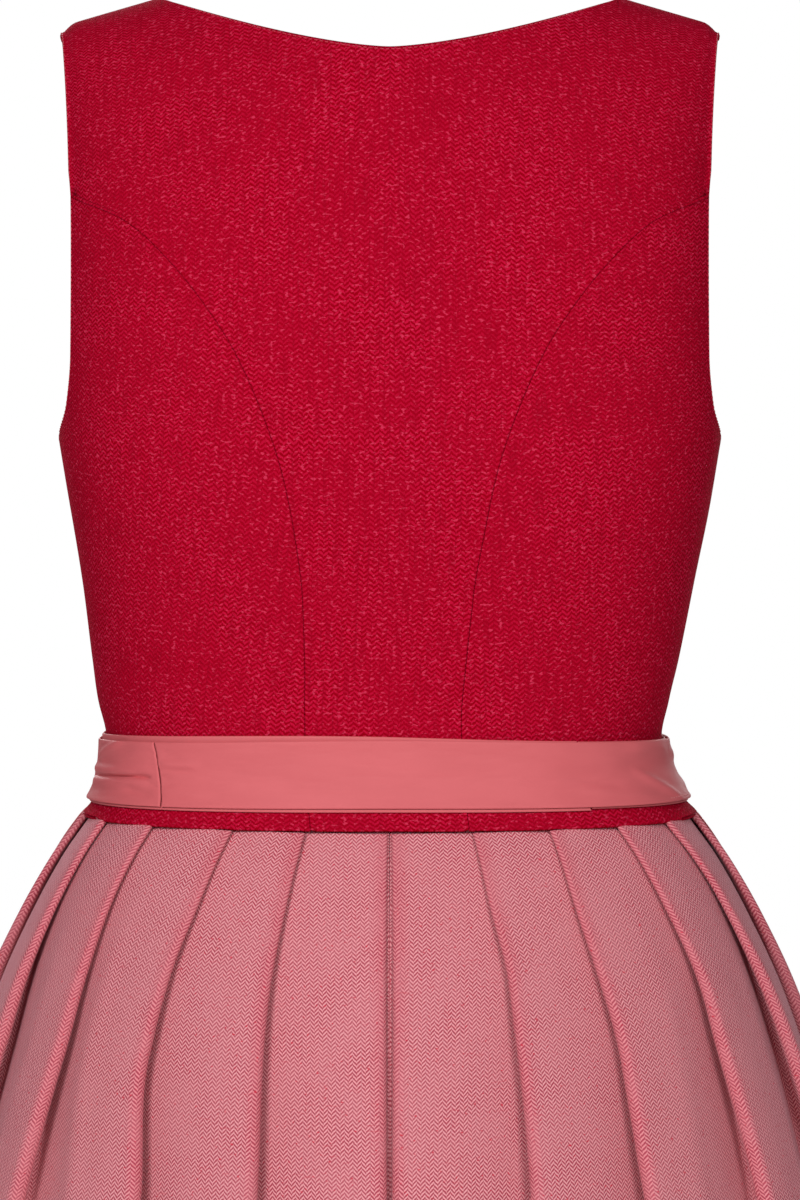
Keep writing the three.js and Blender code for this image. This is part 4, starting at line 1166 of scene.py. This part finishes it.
class Pen:
    """Follows a cloth's section: s along the outline, r outward from it, u along the cloth."""

    def __init__(self, s, heading, radius, u):
        self.s, self.r, self.heading, self.radius, self.u = s, 0.0, heading, radius, u
        self.marks = []

    def mark(self, lift=0.0):
        self.marks.append((self.s, self.r + lift, self.heading, self.u))

    def go(self, distance):
        self.s += distance * math.cos(self.heading)
        self.r += distance * math.sin(self.heading)
        self.u += distance

    def bend(self, to):
        first = self.heading
        sense = math.copysign(self.radius, to - first)
        for k in range(TURN_STEPS):
            heading = mix(first, to, (k + 1) / TURN_STEPS)
            self.s += sense * (math.sin(heading) - math.sin(self.heading))
            self.r -= sense * (math.cos(heading) - math.cos(self.heading))
            self.u += self.radius * abs(heading - self.heading)
            self.heading = heading
            self.mark()

    def under_fold(self, turn, under):
        middle = (turn + self.heading) / 2
        self.bend(middle)
        self.bend(turn)
        for _step in range(UNDER_STEPS):
            self.go(under / UNDER_STEPS)
            self.mark()
        self.bend(middle)


def slow_wave(settings, z, k, way):
    height, length, turn = settings
    return height * math.sin(z / length + turn * k + way)


def fold_spots(length, z, folds, parting, way):
    """Where the pleats start along one half of the outline, from its middle to its end."""
    even = parting + (length - parting) * np.arange(PLEATS + 1) / PLEATS
    roll = float(fold_radius(z)) + SKIRT_WALL / 2
    at = [float(one(z)) * length / PLEATS + k * roll for one, k in zip(folds, ROLL_SHIFT)]
    left = PLEATS - len(at)
    rest = at[-1] + (length - at[-1]) * np.arange(1, left + 1) / left
    rest[:len(SIDE_SHIFT)] += roll * np.array(SIDE_SHIFT)
    shown = np.array([parting, *at, *rest])
    spots = mix(shown, even, float(smooth(*EVEN_BETWEEN, z)))
    fade = float(smooth(*SOFT_BETWEEN, z))
    spots[1:-1] += [fade * slow_wave(FOLD_DRIFT, z, k, way) for k in range(1, PLEATS)]
    return spots


def face_lifts(shares, z, k, way):
    """How far a pleat's face stands out at shares of its length: one bulge and one soft ridge."""
    swell = float(face_bulge(z)) * (1 + slow_wave(BULGE_CHANGE, z, k, way))
    lifts = [swell * math.sin(math.pi * min(share / BULGE_SHARE, 1)) for share in shares]
    if k >= RIDGED_FROM:
        place = RIDGE_PLACE + slow_wave(RIDGE_DRIFT, z, k, way)
        rise = RIDGE_RISE + RIDGE_RISE_CHANGE * math.sin(RIDGE_RISE_TURN * k + 2 * way)
        rise *= float(smooth(*SOFT_BETWEEN, z))
        for i, share in enumerate(shares):
            lifts[i] += rise * math.exp(-(((share - place) / RIDGE_WIDTH) ** 2))
    return lifts


def middle_underlay(z, parting, slope, turn, under, radius, crest):
    """Marks of the inverted pleat's underlay, from the centre seam to the first crest."""
    pen = Pen(0.0, slope, radius, 0.0)
    pen.mark()
    pen.under_fold(turn, under)
    shift_s, shift_r, shift_u = parting - pen.s, -pen.r, -pen.u
    fold = [(a + shift_s, b + shift_r, c, d + shift_u) for a, b, c, d in pen.marks]
    knee = fold[0][0] * UNDERLAY_KNEE["along"]
    depth = fold[0][1] - (fold[0][0] - knee) * math.tan(slope)
    high = mix(depth, fold[0][1], UNDERLAY_KNEE["up"])
    u0 = fold[0][3] - fold[0][0]
    swell = float(smooth(*SWELL_BETWEEN, z)) * (crest - depth)
    flats = [(SEAM_GAP / 2, depth + swell * UNDERLAY_SWELL, 0.0, u0 + SEAM_GAP / 2)]
    for along, up, swollen in UNDERLAY_POINTS:
        height = depth + (high - depth) * up + swell * swollen
        flats.append((knee * along, height, slope * UNDERLAY_SLOPE, u0 + knee * along))
    flats.append((knee, high, slope * UNDERLAY_KNEE["slope"], u0 + knee))
    return flats + fold[:-1]


def skirt_row(length, z, folds, way):
    """One half section of the skirt. The rows of every ring have the same number of points."""
    turn = math.radians(float(pleat_turn(z)))
    radius = float(fold_radius(z))
    parting = float(pleat_parting(z)) + SKIRT_WALL / 2
    pitches = np.diff(fold_spots(length, z, folds, parting, way))
    for k in range(PLEATS):
        slope, face, under = pleat_shape(float(pitches[k]), turn, radius)
        # The first crest joins the underlay of the inverted pleat, the others the fold before
        if k == 0:
            first = (slope, turn, under, radius)
            pen = Pen(parting, (turn + slope) / 2, radius, 0.0)
            pen.mark()
        last = k == PLEATS - 1
        pen.bend(0 if last else slope)
        length_on = length - SEAM_GAP / 2 - pen.s if last else face
        done = 0.0
        shares = list(FACE_SHARES[:-1])
        if k == SIDE_SEAM_PLEAT:
            shares = sorted([*shares, SEAM_ON_FACE])
        lifts = [0.0] * len(shares) if last else face_lifts(shares, z, k, way)
        for share, lift in zip(shares, lifts):
            pen.go((share - done) * length_on)
            if share == SEAM_ON_FACE:
                pen.s -= SEAM_GAP / 2
                pen.mark(lift)
                split = len(pen.marks)
                pen.s += SEAM_GAP
                pen.mark(lift)
                pen.s -= SEAM_GAP / 2
            else:
                pen.mark(lift)
            done = share
        pen.go((1 - done) * length_on)
        pen.mark()
        if not last:
            pen.under_fold(turn, under)
            # The next face keeps its crest at a whole number of cuts along the cloth
            pen.u = PLEAT_CUT * (k + 1)
            pen.heading = (turn + slope) / 2
    crest = max(mark[1] for mark in pen.marks)
    underlay = middle_underlay(z, parting, *first, crest)
    return np.array(underlay + pen.marks), len(underlay) + split


def skirt_rings():
    rest = [SKIRT_TOP_ROWS[-1]]
    while rest[-1] > HEM + 6:
        rest.append(rest[-1] - mix(*ROW_STEPS, float(smooth(*ROW_STEPS_BETWEEN, rest[-1]))))
    rest = [z for z in rest[1:] if z > HEM + 5]
    return [*SKIRT_TOP_ROWS, *rest, *(HEM + above for above in HEM_ROWS)]


def ring_road(size):
    """Angles over one half of a ring, from the centre back, and how far along it they lie."""
    theta = np.pi * (0.5 - np.arange(RING_ROAD_POINTS + 1) / RING_ROAD_POINTS)
    return theta, travelled(np.stack(ring_spot(theta, size), -1))


def on_ring(theta, size, out):
    """A spot that lies out beyond a ring, square to it."""
    x, y = ring_spot(theta, size)
    ax, ay = ring_spot(theta - RING_STEP, size)
    bx, by = ring_spot(theta + RING_STEP, size)
    length = np.hypot(ax - bx, ay - by)
    return x - (ay - by) / length * out, y + (ax - bx) / length * out


def skirt_half(way):
    folds_table = LEFT_FOLDS if way > 0 else RIGHT_FOLDS
    folds = [curve(folds_table, k) for k in folds_table[0][1:]]
    middles, flats = [], []
    fallen, before = 0.0, None
    for z in skirt_rings():
        size = section_at(z)
        theta_road, gone = ring_road(size)
        marks, split = skirt_row(float(gone[-1]), z, folds, way)
        s, r, heading, u = marks.T
        proudest = (r + np.cos(heading) * SKIRT_WALL / 2).max()
        s = np.clip(s, SEAM_GAP / 2, gone[-1] - SEAM_GAP / 2)
        theta = np.interp(s, gone, theta_road)
        x, y = on_ring(theta, size, r - proudest)
        fade = (z - HEM) / (WAIST_SEAM - HEM)
        height = z - WAIST_SEAM_DIP * np.sin(theta) ** 2 * fade
        middles.append(np.stack([x * way, y, height], -1))
        spot = np.array([z, (size["back"] + size["half"]) / 2])
        fallen += 0 if before is None else float(np.linalg.norm(spot - before))
        before = spot
        flats.append(np.stack([way * u, np.full(len(u), -fallen)], -1))
    return np.array(middles), np.array(flats), split


def skirt():
    for side, way in (("left", 1), ("right", -1)):
        middle, flat, split = skirt_half(way)
        for (part, width), columns in zip(SKIRT_PARTS, (slice(0, split), slice(split, None))):
            node = f"skirt_{part}_{side}"
            grid, uv = middle[::-1, columns], flat[::-1, columns]
            piece = cloth(f"{node}_cloth", grid, SKIRT_WALL, uv, skirt_cloth, -way, ("low",))
            finished(piece, node)
            size = (width, SKIRT_FLAT_LENGTH)
            min(grid_area(grid), size[0] * size[1])


# Satin


def share_behind(theta):
    return np.maximum(0, np.sin(theta))


def band_low(theta):
    return BAND_LOW + BAND_LOW_RISE * share_behind(theta)


def band_high(theta):
    return BAND_HIGH + BAND_HIGH_RISE * share_behind(theta)


def waistband_lift(angle):
    start, end = WAISTBAND_SINKS
    return mix(OVER_LIFT, UNDER_LIFT, np.clip((angle - start) / (end - start), 0, 1))


def band_spot(theta, z, lift):
    seam = seam_height(theta)
    level = (z - seam) / (UNDERARM - seam)
    return bodice_point(theta, level, lift)


CREASE_FADE = 0.6


def creased(along, up, creases, degrees):
    """How far soft creases lift the cloth. Each runs between two places, given as an angle round
    the waist and a height over the band's lower edge, with a width and a lift."""
    lift = np.zeros(along.shape)
    for angle_a, up_a, angle_b, up_b, width, height in creases:
        a = np.array([np.interp(angle_a, *degrees), up_a])
        b = np.array([np.interp(angle_b, *degrees), up_b])
        way = b - a
        t = ((along - a[0]) * way[0] + (up - a[1]) * way[1]) / (way @ way)
        near = np.clip(t, 0, 1)
        off = np.hypot(along - a[0] - near * way[0], up - a[1] - near * way[1])
        fade = 1 - np.abs(2 * near - 1) ** 4 * CREASE_FADE
        lift += height * fade * np.exp(-((off / width) ** 2))
    return lift


TIE_LEAN = 3.4
WAISTBAND_CREASES = (
    (3.6, 12.4, 30.0, 14.2, 0.9, -2.4),
    (1.0, 15.4, 30.0, 16.8, 2.0, 1.2),
    (5.0, 9.6, 29.0, 11.6, 2.2, 1.2),
    (26.5, 14.4, 30.6, 13.4, 1.4, -1.2),
    (24.2, 8.1, 31.4, 5.7, 1.8, -0.9),
    (9.0, 22.0, 21.0, 30.0, 1.8, 1.2),
    (13.0, 20.0, 25.0, 27.0, 2.4, -0.5),
    (29.6, 31.0, 32.5, 31.0, 0.8, -0.5),
    (29.6, 26.0, 32.5, 25.4, 0.8, -0.5),
    (29.8, 22.6, 32.5, 22.2, 0.7, -0.5),
    (29.8, 19.6, 32.6, 19.9, 0.7, -0.5),
    (30.0, 10.8, 33.0, 10.4, 0.8, -0.5),
    (-30.0, 8.0, -48.0, 16.0, 2.4, 1.0),
    (-26.0, 22.0, -50.0, 17.0, 2.2, 0.9),
    (-90.0, 18.0, -116.0, 20.0, 3.2, 0.7),
    (-150.0, 9.0, -176.0, 13.0, 2.6, 0.9),
    (-160.0, 22.0, -186.0, 19.0, 2.6, 0.8),
)
OUTER_TIE_CREASES = (
    (33.4, 18.4, 41.0, 17.8, 1.1, -0.6),
    (33.4, 20.4, 42.0, 20.4, 2.0, 0.9),
    (33.6, 24.0, 38.0, 24.2, 2.4, -0.5),
    (34.0, 8.0, 44.0, 6.0, 2.8, 0.6),
    (33.2, 31.0, 35.5, 30.6, 0.8, -0.5),
    (33.2, 26.2, 35.5, 26.6, 0.8, -0.5),
    (33.6, 14.4, 36.0, 14.0, 0.8, -0.5),
    (34.2, 10.4, 36.6, 10.6, 0.8, -0.5),
    (151.0, 21.5, 168.0, 18.3, 4.2, -0.6),
    (153.0, 28.5, 168.0, 25.5, 3.6, 1.1),
    (137.0, 14.6, 149.0, 9.7, 3.6, -0.6),
    (154.0, 15.5, 167.0, 1.5, 2.4, 1.3),
    (140.0, 8.0, 156.0, 4.5, 3.0, 0.7),
    (172.0, 24.0, 196.0, 15.0, 3.0, 1.0),
    (176.0, 6.0, 204.0, 10.0, 2.8, 0.9),
    (226.0, 18.0, 258.0, 20.0, 3.2, 0.9),
    (268.0, 8.0, 294.0, 15.0, 2.2, 1.2),
    (266.0, 24.0, 294.0, 18.0, 2.2, 1.1),
    (274.0, 16.0, 295.0, 16.6, 1.4, -0.6),
)
INNER_TIE_CREASES = (
    (-40.0, 10.0, -10.0, 14.0, 2.6, 0.4),
    (90.0, 20.0, 130.0, 16.0, 4.0, 0.3),
)


# Points of a band: how far apart they lie along it and up it, and where they start at its ends
BAND_STATIONS = 60
BAND_CELL = 1.5
BAND_EDGE = (0, 0.2, 0.5, 0.9, 1.4, 2.1, 3.0)
BAND_UP = 33.0
BAND_UP_CELL = 1.05
BAND_UP_EDGE = (0, 0.12, 0.3, 0.55, 0.9)


def band(name, start, end, low_at, high_at, lift_at, creases, lean=0.0):
    """A strip round the waist between two angles. Its start leans by an angle from low to high."""
    angles = np.linspace(start, end, BAND_STATIONS)
    way = np.radians(angles)
    gone = travelled(
        band_spot(way, (low_at(way) + high_at(way)) / 2, np.full(BAND_STATIONS, OVER_LIFT))
    )
    shares = spaced([gone[-1]], BAND_CELL, BAND_EDGE)[0]
    ups = spaced([BAND_UP], BAND_UP_CELL, BAND_UP_EDGE)[0][:, None]
    angle = mix(start + lean * (0.5 - ups), end, shares)
    theta = np.radians(angle)
    low, high = low_at(theta), high_at(theta)
    up = ups * (high - low)
    order = np.argsort(angles)
    table = (angles[order], gone[order])
    along = np.interp(angle, *table)
    lift = lift_at(angle) + SATIN_WALL / 2 + creased(along, up, creases, table)
    middle = band_spot(theta, low + up, lift)
    uv = np.stack([along, up], -1)
    side = 1 if end > start else -1
    sides = ("low", "high", "left", "right")
    piece = cloth(f"{name}_cloth", middle, SATIN_WALL, uv, satin, side, sides)
    finished(piece, name)
    return middle, grid_normals(middle) * side


INNER_RISE = (2.6, 0.2)
INNER_RISE_BETWEEN = (40, 139)
HEM_STITCHES_BETWEEN = (160, 176)
HEM_STITCH_ROW = 5
HEM_STITCH = {"pitch": 2.4, "length": 1.5, "radius": 0.2}


def inner_rise(angle):
    """The inner tie shows over the outer one, least at the right where it comes in."""
    return mix(*INNER_RISE, smooth(*INNER_RISE_BETWEEN, angle))


def bands():
    gap = math.degrees(SEAM_GAP / BAND_REACH)
    outer, outer_up = band(
        "tie_outer", TIE_SEAM + gap, 360 + OUTER_TIE_END, band_low, band_high,
        lambda angle: np.full(angle.shape, OVER_LIFT), OUTER_TIE_CREASES, TIE_LEAN,
    )
    band(
        "tie_inner", INNER_TIE_END, WAISTBAND_RIGHT_END - gap,
        lambda theta: band_low(theta) - INNER_TIE_BELOW * share_behind(theta),
        lambda theta: band_high(theta) + inner_rise(np.degrees(theta)),
        lambda angle: np.full(angle.shape, UNDER_LIFT), INNER_TIE_CREASES,
    )
    band(
        "apron_waistband", TIE_SEAM - gap, WAISTBAND_RIGHT_END - 360 + gap, band_low, band_high,
        waistband_lift, WAISTBAND_CREASES, TIE_LEAN,
    )
    # The tie's hemmed lower edge shows its stitches where it turns at the wearer's right
    outer = outer + outer_up * SATIN_WALL / 2
    share = np.linspace(0, 1, outer.shape[1])
    angle = mix(TIE_SEAM, 360 + OUTER_TIE_END, share)
    shown = slice(*(int(np.argmax(angle > limit)) for limit in HEM_STITCHES_BETWEEN))
    path, up = outer[HEM_STITCH_ROW, shown], outer_up[HEM_STITCH_ROW, shown]
    stitches("tie_hem_stitches", path, up, satin_thread, "satin", **HEM_STITCH)


def outside_point(theta, z, out):
    size = section_at(z)
    x, y = on_ring(theta, size, out)
    return np.stack(np.broadcast_arrays(x + size["shift"], y, z), -1)


APRON_TOP_ROWS = (APRON_TOP, -377.4, -378.2, -379.4, -381, -383)
APRON_HEM_ROWS = (4, 2, 0.8, 0)
APRON_ROW_STEPS = (2.5, 9.0)
APRON_STEPS_BETWEEN = (-384, -520)
# Small gathers between the main waves: height, count to a wave, drift and its turns
SMALL_GATHER = 0.9
SMALL_GATHERS = 3
SMALL_DRIFT = 0.7
SMALL_TURNS = 17
SMALL_FROM = (-377, -384)
SMALL_UNTIL = (-400, -520)
APRON_SEAT = 7
APRON_GATHERED = 2.2


def apron_rows():
    rows = list(APRON_TOP_ROWS)
    while rows[-1] > APRON_HEM + 8:
        rows.append(rows[-1] - mix(*APRON_ROW_STEPS, float(smooth(*APRON_STEPS_BETWEEN, rows[-1]))))
    return np.array([*rows[:-1], *(APRON_HEM + above for above in APRON_HEM_ROWS)])


def apron():
    z = apron_rows()[:, None]
    u = np.linspace(0, 1, APRON_WAVES * APRON_WAVE_POINTS + 1)[None, :]
    angle = -mix(APRON_EDGE_ANGLE, 180 - APRON_EDGE_ANGLE, u)
    theta = np.radians(angle)
    phase = u * APRON_WAVES
    for reach, turns, slant in APRON_DRIFTS:
        phase = phase + reach * np.sin(turns * u + slant * z)
    wave = apron_wave(z) * (0.5 + 0.5 * np.cos(2 * np.pi * phase))
    # The small gathers die out below the waistband
    fade = smooth(*SMALL_FROM, z) * (1 - smooth(*SMALL_UNTIL, z))
    small = SMALL_GATHERS * phase + SMALL_DRIFT * np.sin(SMALL_TURNS * u)
    wave = wave + SMALL_GATHER * fade * (0.5 + 0.5 * np.cos(2 * np.pi * small))
    all_z = np.broadcast_to(z, wave.shape)
    all_theta = np.broadcast_to(theta, wave.shape)
    hung = outside_point(all_theta, all_z, APRON_CLEAR + wave + SATIN_WALL / 2)
    lift = waistband_lift(angle) + SATIN_WALL / 2
    start = band_spot(theta, np.full(theta.shape, float(BAND_LOW)), lift) - (0, 0, SEAM_GAP)
    near = smooth(APRON_TOP - APRON_SEAT, APRON_TOP, z)[..., None]
    top = np.stack(
        np.broadcast_arrays(start[..., 0], start[..., 1], z + (start[..., 2] - APRON_TOP)), -1
    )
    middle = mix(hung, top, near)
    uv = np.stack(np.broadcast_arrays(travelled(middle[0]) * APRON_GATHERED, z), -1)
    piece = cloth("apron_panel_cloth", middle, SATIN_WALL, uv, satin, 1, TURNED_SIDES)
    finished(piece, "apron_panel")


def bow_spot(t, n, h):
    z = (BAND_LOW + BAND_HIGH) / 2 + h
    theta = math.radians(BOW_ANGLE) + t / BOW_REACH
    return outside_point(theta, z, n)


KNOT_SEAT = OVER_LIFT + SATIN_WALL + SEAM_GAP
KNOT_AROUND = 64
KNOT_DOWN = 33
KNOT_THREADS = (10, 14)
# Folds over the knot: rise and turns across it and along it
KNOT_FOLDS = ((0.035, 9, 3), (0.02, 17, -2))
LOOP_ROWS = 56
# How full the loop's outline, sides and height are, as powers of a half turn
LOOP_FULLNESS = {"reach": 0.8, "height": 0.5, "width": 0.7}
# Gathers near the knot and a wave over the loop's end: rise, turns over the width and start
LOOP_GATHER = (0.8, 4.5, 0.4)
LOOP_GATHER_UNTIL = (0.15, 0.75)
LOOP_GATHER_FROM = (0, 0.12)
LOOP_WAVE = (0.7, 2.2)
EDGE_POINTS = np.linspace(-1, 1, 19)[None, :]
LOOP_CLOTH = 60
TAIL_ROWS = 70
TAIL_SEAT = 5
TAIL_WIDENS = (0.25, 0.8)
TAIL_SETTLES = 0.2
TAIL_TWIST = 0.8
# A slow wave down the tail, and gathers below the knot: rise and turns
TAIL_WAVE = (1.5, 9)
TAIL_GATHER = (1.1, 5)
TAIL_GATHER_UNTIL = (0.02, 0.6)
TAIL_GATHER_FROM = (0, 0.04)


def swollen(value):
    return np.sign(value) * np.abs(value) ** KNOT["squareness"]


def knot_faces(rows, columns):
    """Faces of a globe, whose first and last rows are each one point."""
    index = np.arange(rows * columns).reshape(rows, columns).tolist()
    faces = []
    for i in range(rows - 1):
        for j in range(columns):
            k = (j + 1) % columns
            if i == 0:
                faces.append((index[0][0], index[1][j], index[1][k]))
            elif i == rows - 2:
                faces.append((index[i][j], index[-1][0], index[i][k]))
            else:
                faces.append((index[i][j], index[i + 1][j], index[i + 1][k], index[i][k]))
    return faces


def bow_knot():
    """A wound tie with folds that cross it."""
    lon = np.linspace(0, 2 * np.pi, KNOT_AROUND, endpoint=False)
    around, down = np.meshgrid(lon, np.linspace(0, np.pi, KNOT_DOWN))
    x, y, z = -np.cos(around) * np.sin(down), np.cos(down), np.sin(around) * np.sin(down)
    fold = 1 + sum(rise * np.cos(across * y + along * x) for rise, across, along in KNOT_FOLDS)
    t = swollen(x) * KNOT["width"] * fold
    h = swollen(y) * KNOT["height"]
    n = KNOT_SEAT + (swollen(z) * fold + 1) * 0.5 * KNOT["depth"]
    points = bow_spot(t, n, h).reshape(-1, 3)
    uv = np.stack([around, down], -1).reshape(-1, 2) * KNOT_THREADS
    faces = knot_faces(KNOT_DOWN, KNOT_AROUND)
    knot = make_mesh("bow_knot_cloth", points, faces, uv, satin)
    # The points that a pole leaves over are taken away
    mesh = bmesh.new()
    mesh.from_mesh(knot.data)
    loose = [v for v in mesh.verts if not v.link_faces]
    bmesh.ops.delete(mesh, geom=loose, context="VERTS")
    bmesh.ops.recalc_face_normals(mesh, faces=mesh.faces)
    mesh.to_mesh(knot.data)
    mesh.free()
    finished(knot, "bow_knot")


def bow_loop(name, side):
    """A loop of tie from the knot out and back, gathered at the knot."""
    turn = np.linspace(0, 1, LOOP_ROWS)[:, None] * np.pi
    edge = EDGE_POINTS
    reach = np.sin(turn) ** LOOP_FULLNESS["reach"]
    swing = 0.5 - 0.5 * np.cos(turn)
    t = side * (KNOT["width"] + SEAM_GAP + reach * LOOP["length"]) + 0 * edge
    base = OVER_LIFT + SATIN_WALL + LOOP["seat"]
    bulge = LOOP["bulge"] * np.sin(turn) ** LOOP_FULLNESS["height"]
    n = base + swing * (LOOP["throat"] + bulge) + 0 * edge
    half = 0.5 * mix(LOOP["pinch"], LOOP["width"], reach ** LOOP_FULLNESS["width"])
    h = edge * half - LOOP["droop"] * reach * reach
    rise, turns, start = LOOP_GATHER
    gather = (1 - smooth(*LOOP_GATHER_UNTIL, reach)) * smooth(*LOOP_GATHER_FROM, reach)
    n = n + rise * gather * np.cos(turns * edge + start) * np.where(turn > np.pi / 2, 1, -1)
    rise, turns = LOOP_WAVE
    n = n + rise * reach * np.cos(turns * edge + side)
    middle = bow_spot(t, n, h)
    uv = np.stack([turn * LOOP_CLOTH + 0 * edge, h], -1)
    node = f"bow_loop_{name}"
    piece = cloth(f"{node}_cloth", middle, SATIN_WALL, uv, satin, 1, ("left", "right"))
    finished(piece, node)


def bow_tail(name, side):
    """A tail of tie that hangs from the knot over the apron, with a slanting end."""
    edge = EDGE_POINTS
    share = np.linspace(0, 1, TAIL_ROWS)[:, None]
    widened_at, fullness = TAIL_WIDENS
    half = 0.5 * mix(TAIL["top"], TAIL["width"], np.clip(share / widened_at, 0, 1) ** fullness)
    t = side * (TAIL["aside"] + TAIL["spread"] * np.sqrt(share)) + edge * half
    h = -KNOT["height"] - SEAM_GAP - TAIL["length"] * share - side * edge * TAIL["cut"] * share
    z = (BAND_LOW + BAND_HIGH) / 2 + h
    clear = APRON_CLEAR + apron_wave(np.minimum(z, APRON_TOP)) + SATIN_WALL + TAIL["clear"]
    rise, turns = TAIL_WAVE
    wave = rise * (1 - np.cos(share * turns + side))
    settled = np.clip(share / TAIL_SETTLES, 0, 1)
    out = mix(OVER_LIFT + SATIN_WALL + TAIL_SEAT, clear, settled) + wave + TAIL_TWIST * (edge + 1)
    rise, turns = TAIL_GATHER
    gather = (1 - smooth(*TAIL_GATHER_UNTIL, share)) * smooth(*TAIL_GATHER_FROM, share)
    out = out + rise * gather * np.cos(turns * edge)
    grown = section_at(np.minimum(z, BAND_LOW))["front"] / section_at(BAND_LOW)["front"]
    middle = bow_spot(t / grown, out + SATIN_WALL / 2, h)
    uv = np.stack([edge * half, h], -1)
    node = f"bow_tail_{name}"
    piece = cloth(f"{node}_cloth", middle, SATIN_WALL, uv, satin, 1, TURNED_SIDES)
    finished(piece, node)


def bow():
    bow_knot()
    for name, side in (("left", 1), ("right", -1)):
        bow_loop(name, side)
        bow_tail(name, side)


back_centre()
for side in ("left", "right"):
    side_piece(f"back_side_{side}", True, side == "right")
    side_piece(f"front_side_{side}", False, side == "right")
    front(f"front_{side}", side == "right")
buttons()
skirt()
bands()
apron()
bow()


# Studio

# Lights: name, place, aim, size and power
LIGHTS = (
    ("key", (1.0, 2.7, 0.8), (0, 0, -0.3), 1.1, 54),
    ("fill", (-0.9, 2.7, 0.6), (0, 0, -0.35), 1.1, 36),
    ("front_left", (0.9, -3.0, 0.9), (0, 0, -0.4), 1.6, 58),
    ("front_right", (-0.9, -3.0, 0.3), (0, 0, -0.4), 1.6, 26),
)
SKY_STRENGTH = 0.12
FLOOR_HEIGHT = -1.35
FLOOR_RADIUS = 3.2
FLOOR_SIDES = 96
CAMERA_SPOT = (-0.0047, 2.7962, -0.1345)
CAMERA_PITCH = 87
CAMERA_LENS = 178.7


def studio_floor():
    mesh = bpy.data.meshes.new("floor")
    shape = bmesh.new()
    bmesh.ops.create_circle(shape, cap_ends=True, radius=FLOOR_RADIUS, segments=FLOOR_SIDES)
    bmesh.ops.translate(shape, verts=shape.verts, vec=(0, 0, FLOOR_HEIGHT))
    shape.to_mesh(mesh)
    shape.free()
    mesh.materials.append(floor_paint("floor_paint"))
    linked("floor", mesh)


def studio_sky():
    """A faint white sky that looks plain white to the camera."""
    world = bpy.data.worlds.new("studio")
    bpy.context.scene.world = world
    world.use_nodes = True
    tree = world.node_tree
    tree.nodes.clear()
    sky, seen = [tree.nodes.new("ShaderNodeBackground") for _background in range(2)]
    both = tree.nodes.new("ShaderNodeMixShader")
    path = tree.nodes.new("ShaderNodeLightPath")
    output = tree.nodes.new("ShaderNodeOutputWorld")
    for background, strength in ((sky, SKY_STRENGTH), (seen, 1.0)):
        background.inputs["Color"].default_value = (1, 1, 1, 1)
        background.inputs["Strength"].default_value = strength
    tree.links.new(path.outputs["Is Camera Ray"], both.inputs[0])
    tree.links.new(sky.outputs[0], both.inputs[1])
    tree.links.new(seen.outputs[0], both.inputs[2])
    tree.links.new(both.outputs[0], output.inputs["Surface"])


def area_light(name, spot, aim, size, power):
    lamp = bpy.data.lights.new(name, "AREA")
    lamp.shape = "DISK"
    lamp.size = size
    lamp.energy = power
    holder = linked(name, lamp)
    holder.location = spot
    holder.rotation_euler = (Vector(aim) - Vector(spot)).to_track_quat("-Z", "Y").to_euler()


def studio_camera():
    camera = bpy.data.cameras.new("camera")
    camera.lens = CAMERA_LENS
    camera.sensor_width = 36
    camera.clip_end = 60
    eye = linked("camera", camera)
    eye.location = CAMERA_SPOT
    eye.rotation_euler = (math.radians(CAMERA_PITCH), 0, math.pi)
    bpy.context.scene.camera = eye
    bpy.context.scene.view_settings.view_transform = "Standard"


studio_floor()
studio_sky()
for light in LIGHTS:
    area_light(*light)
studio_camera()
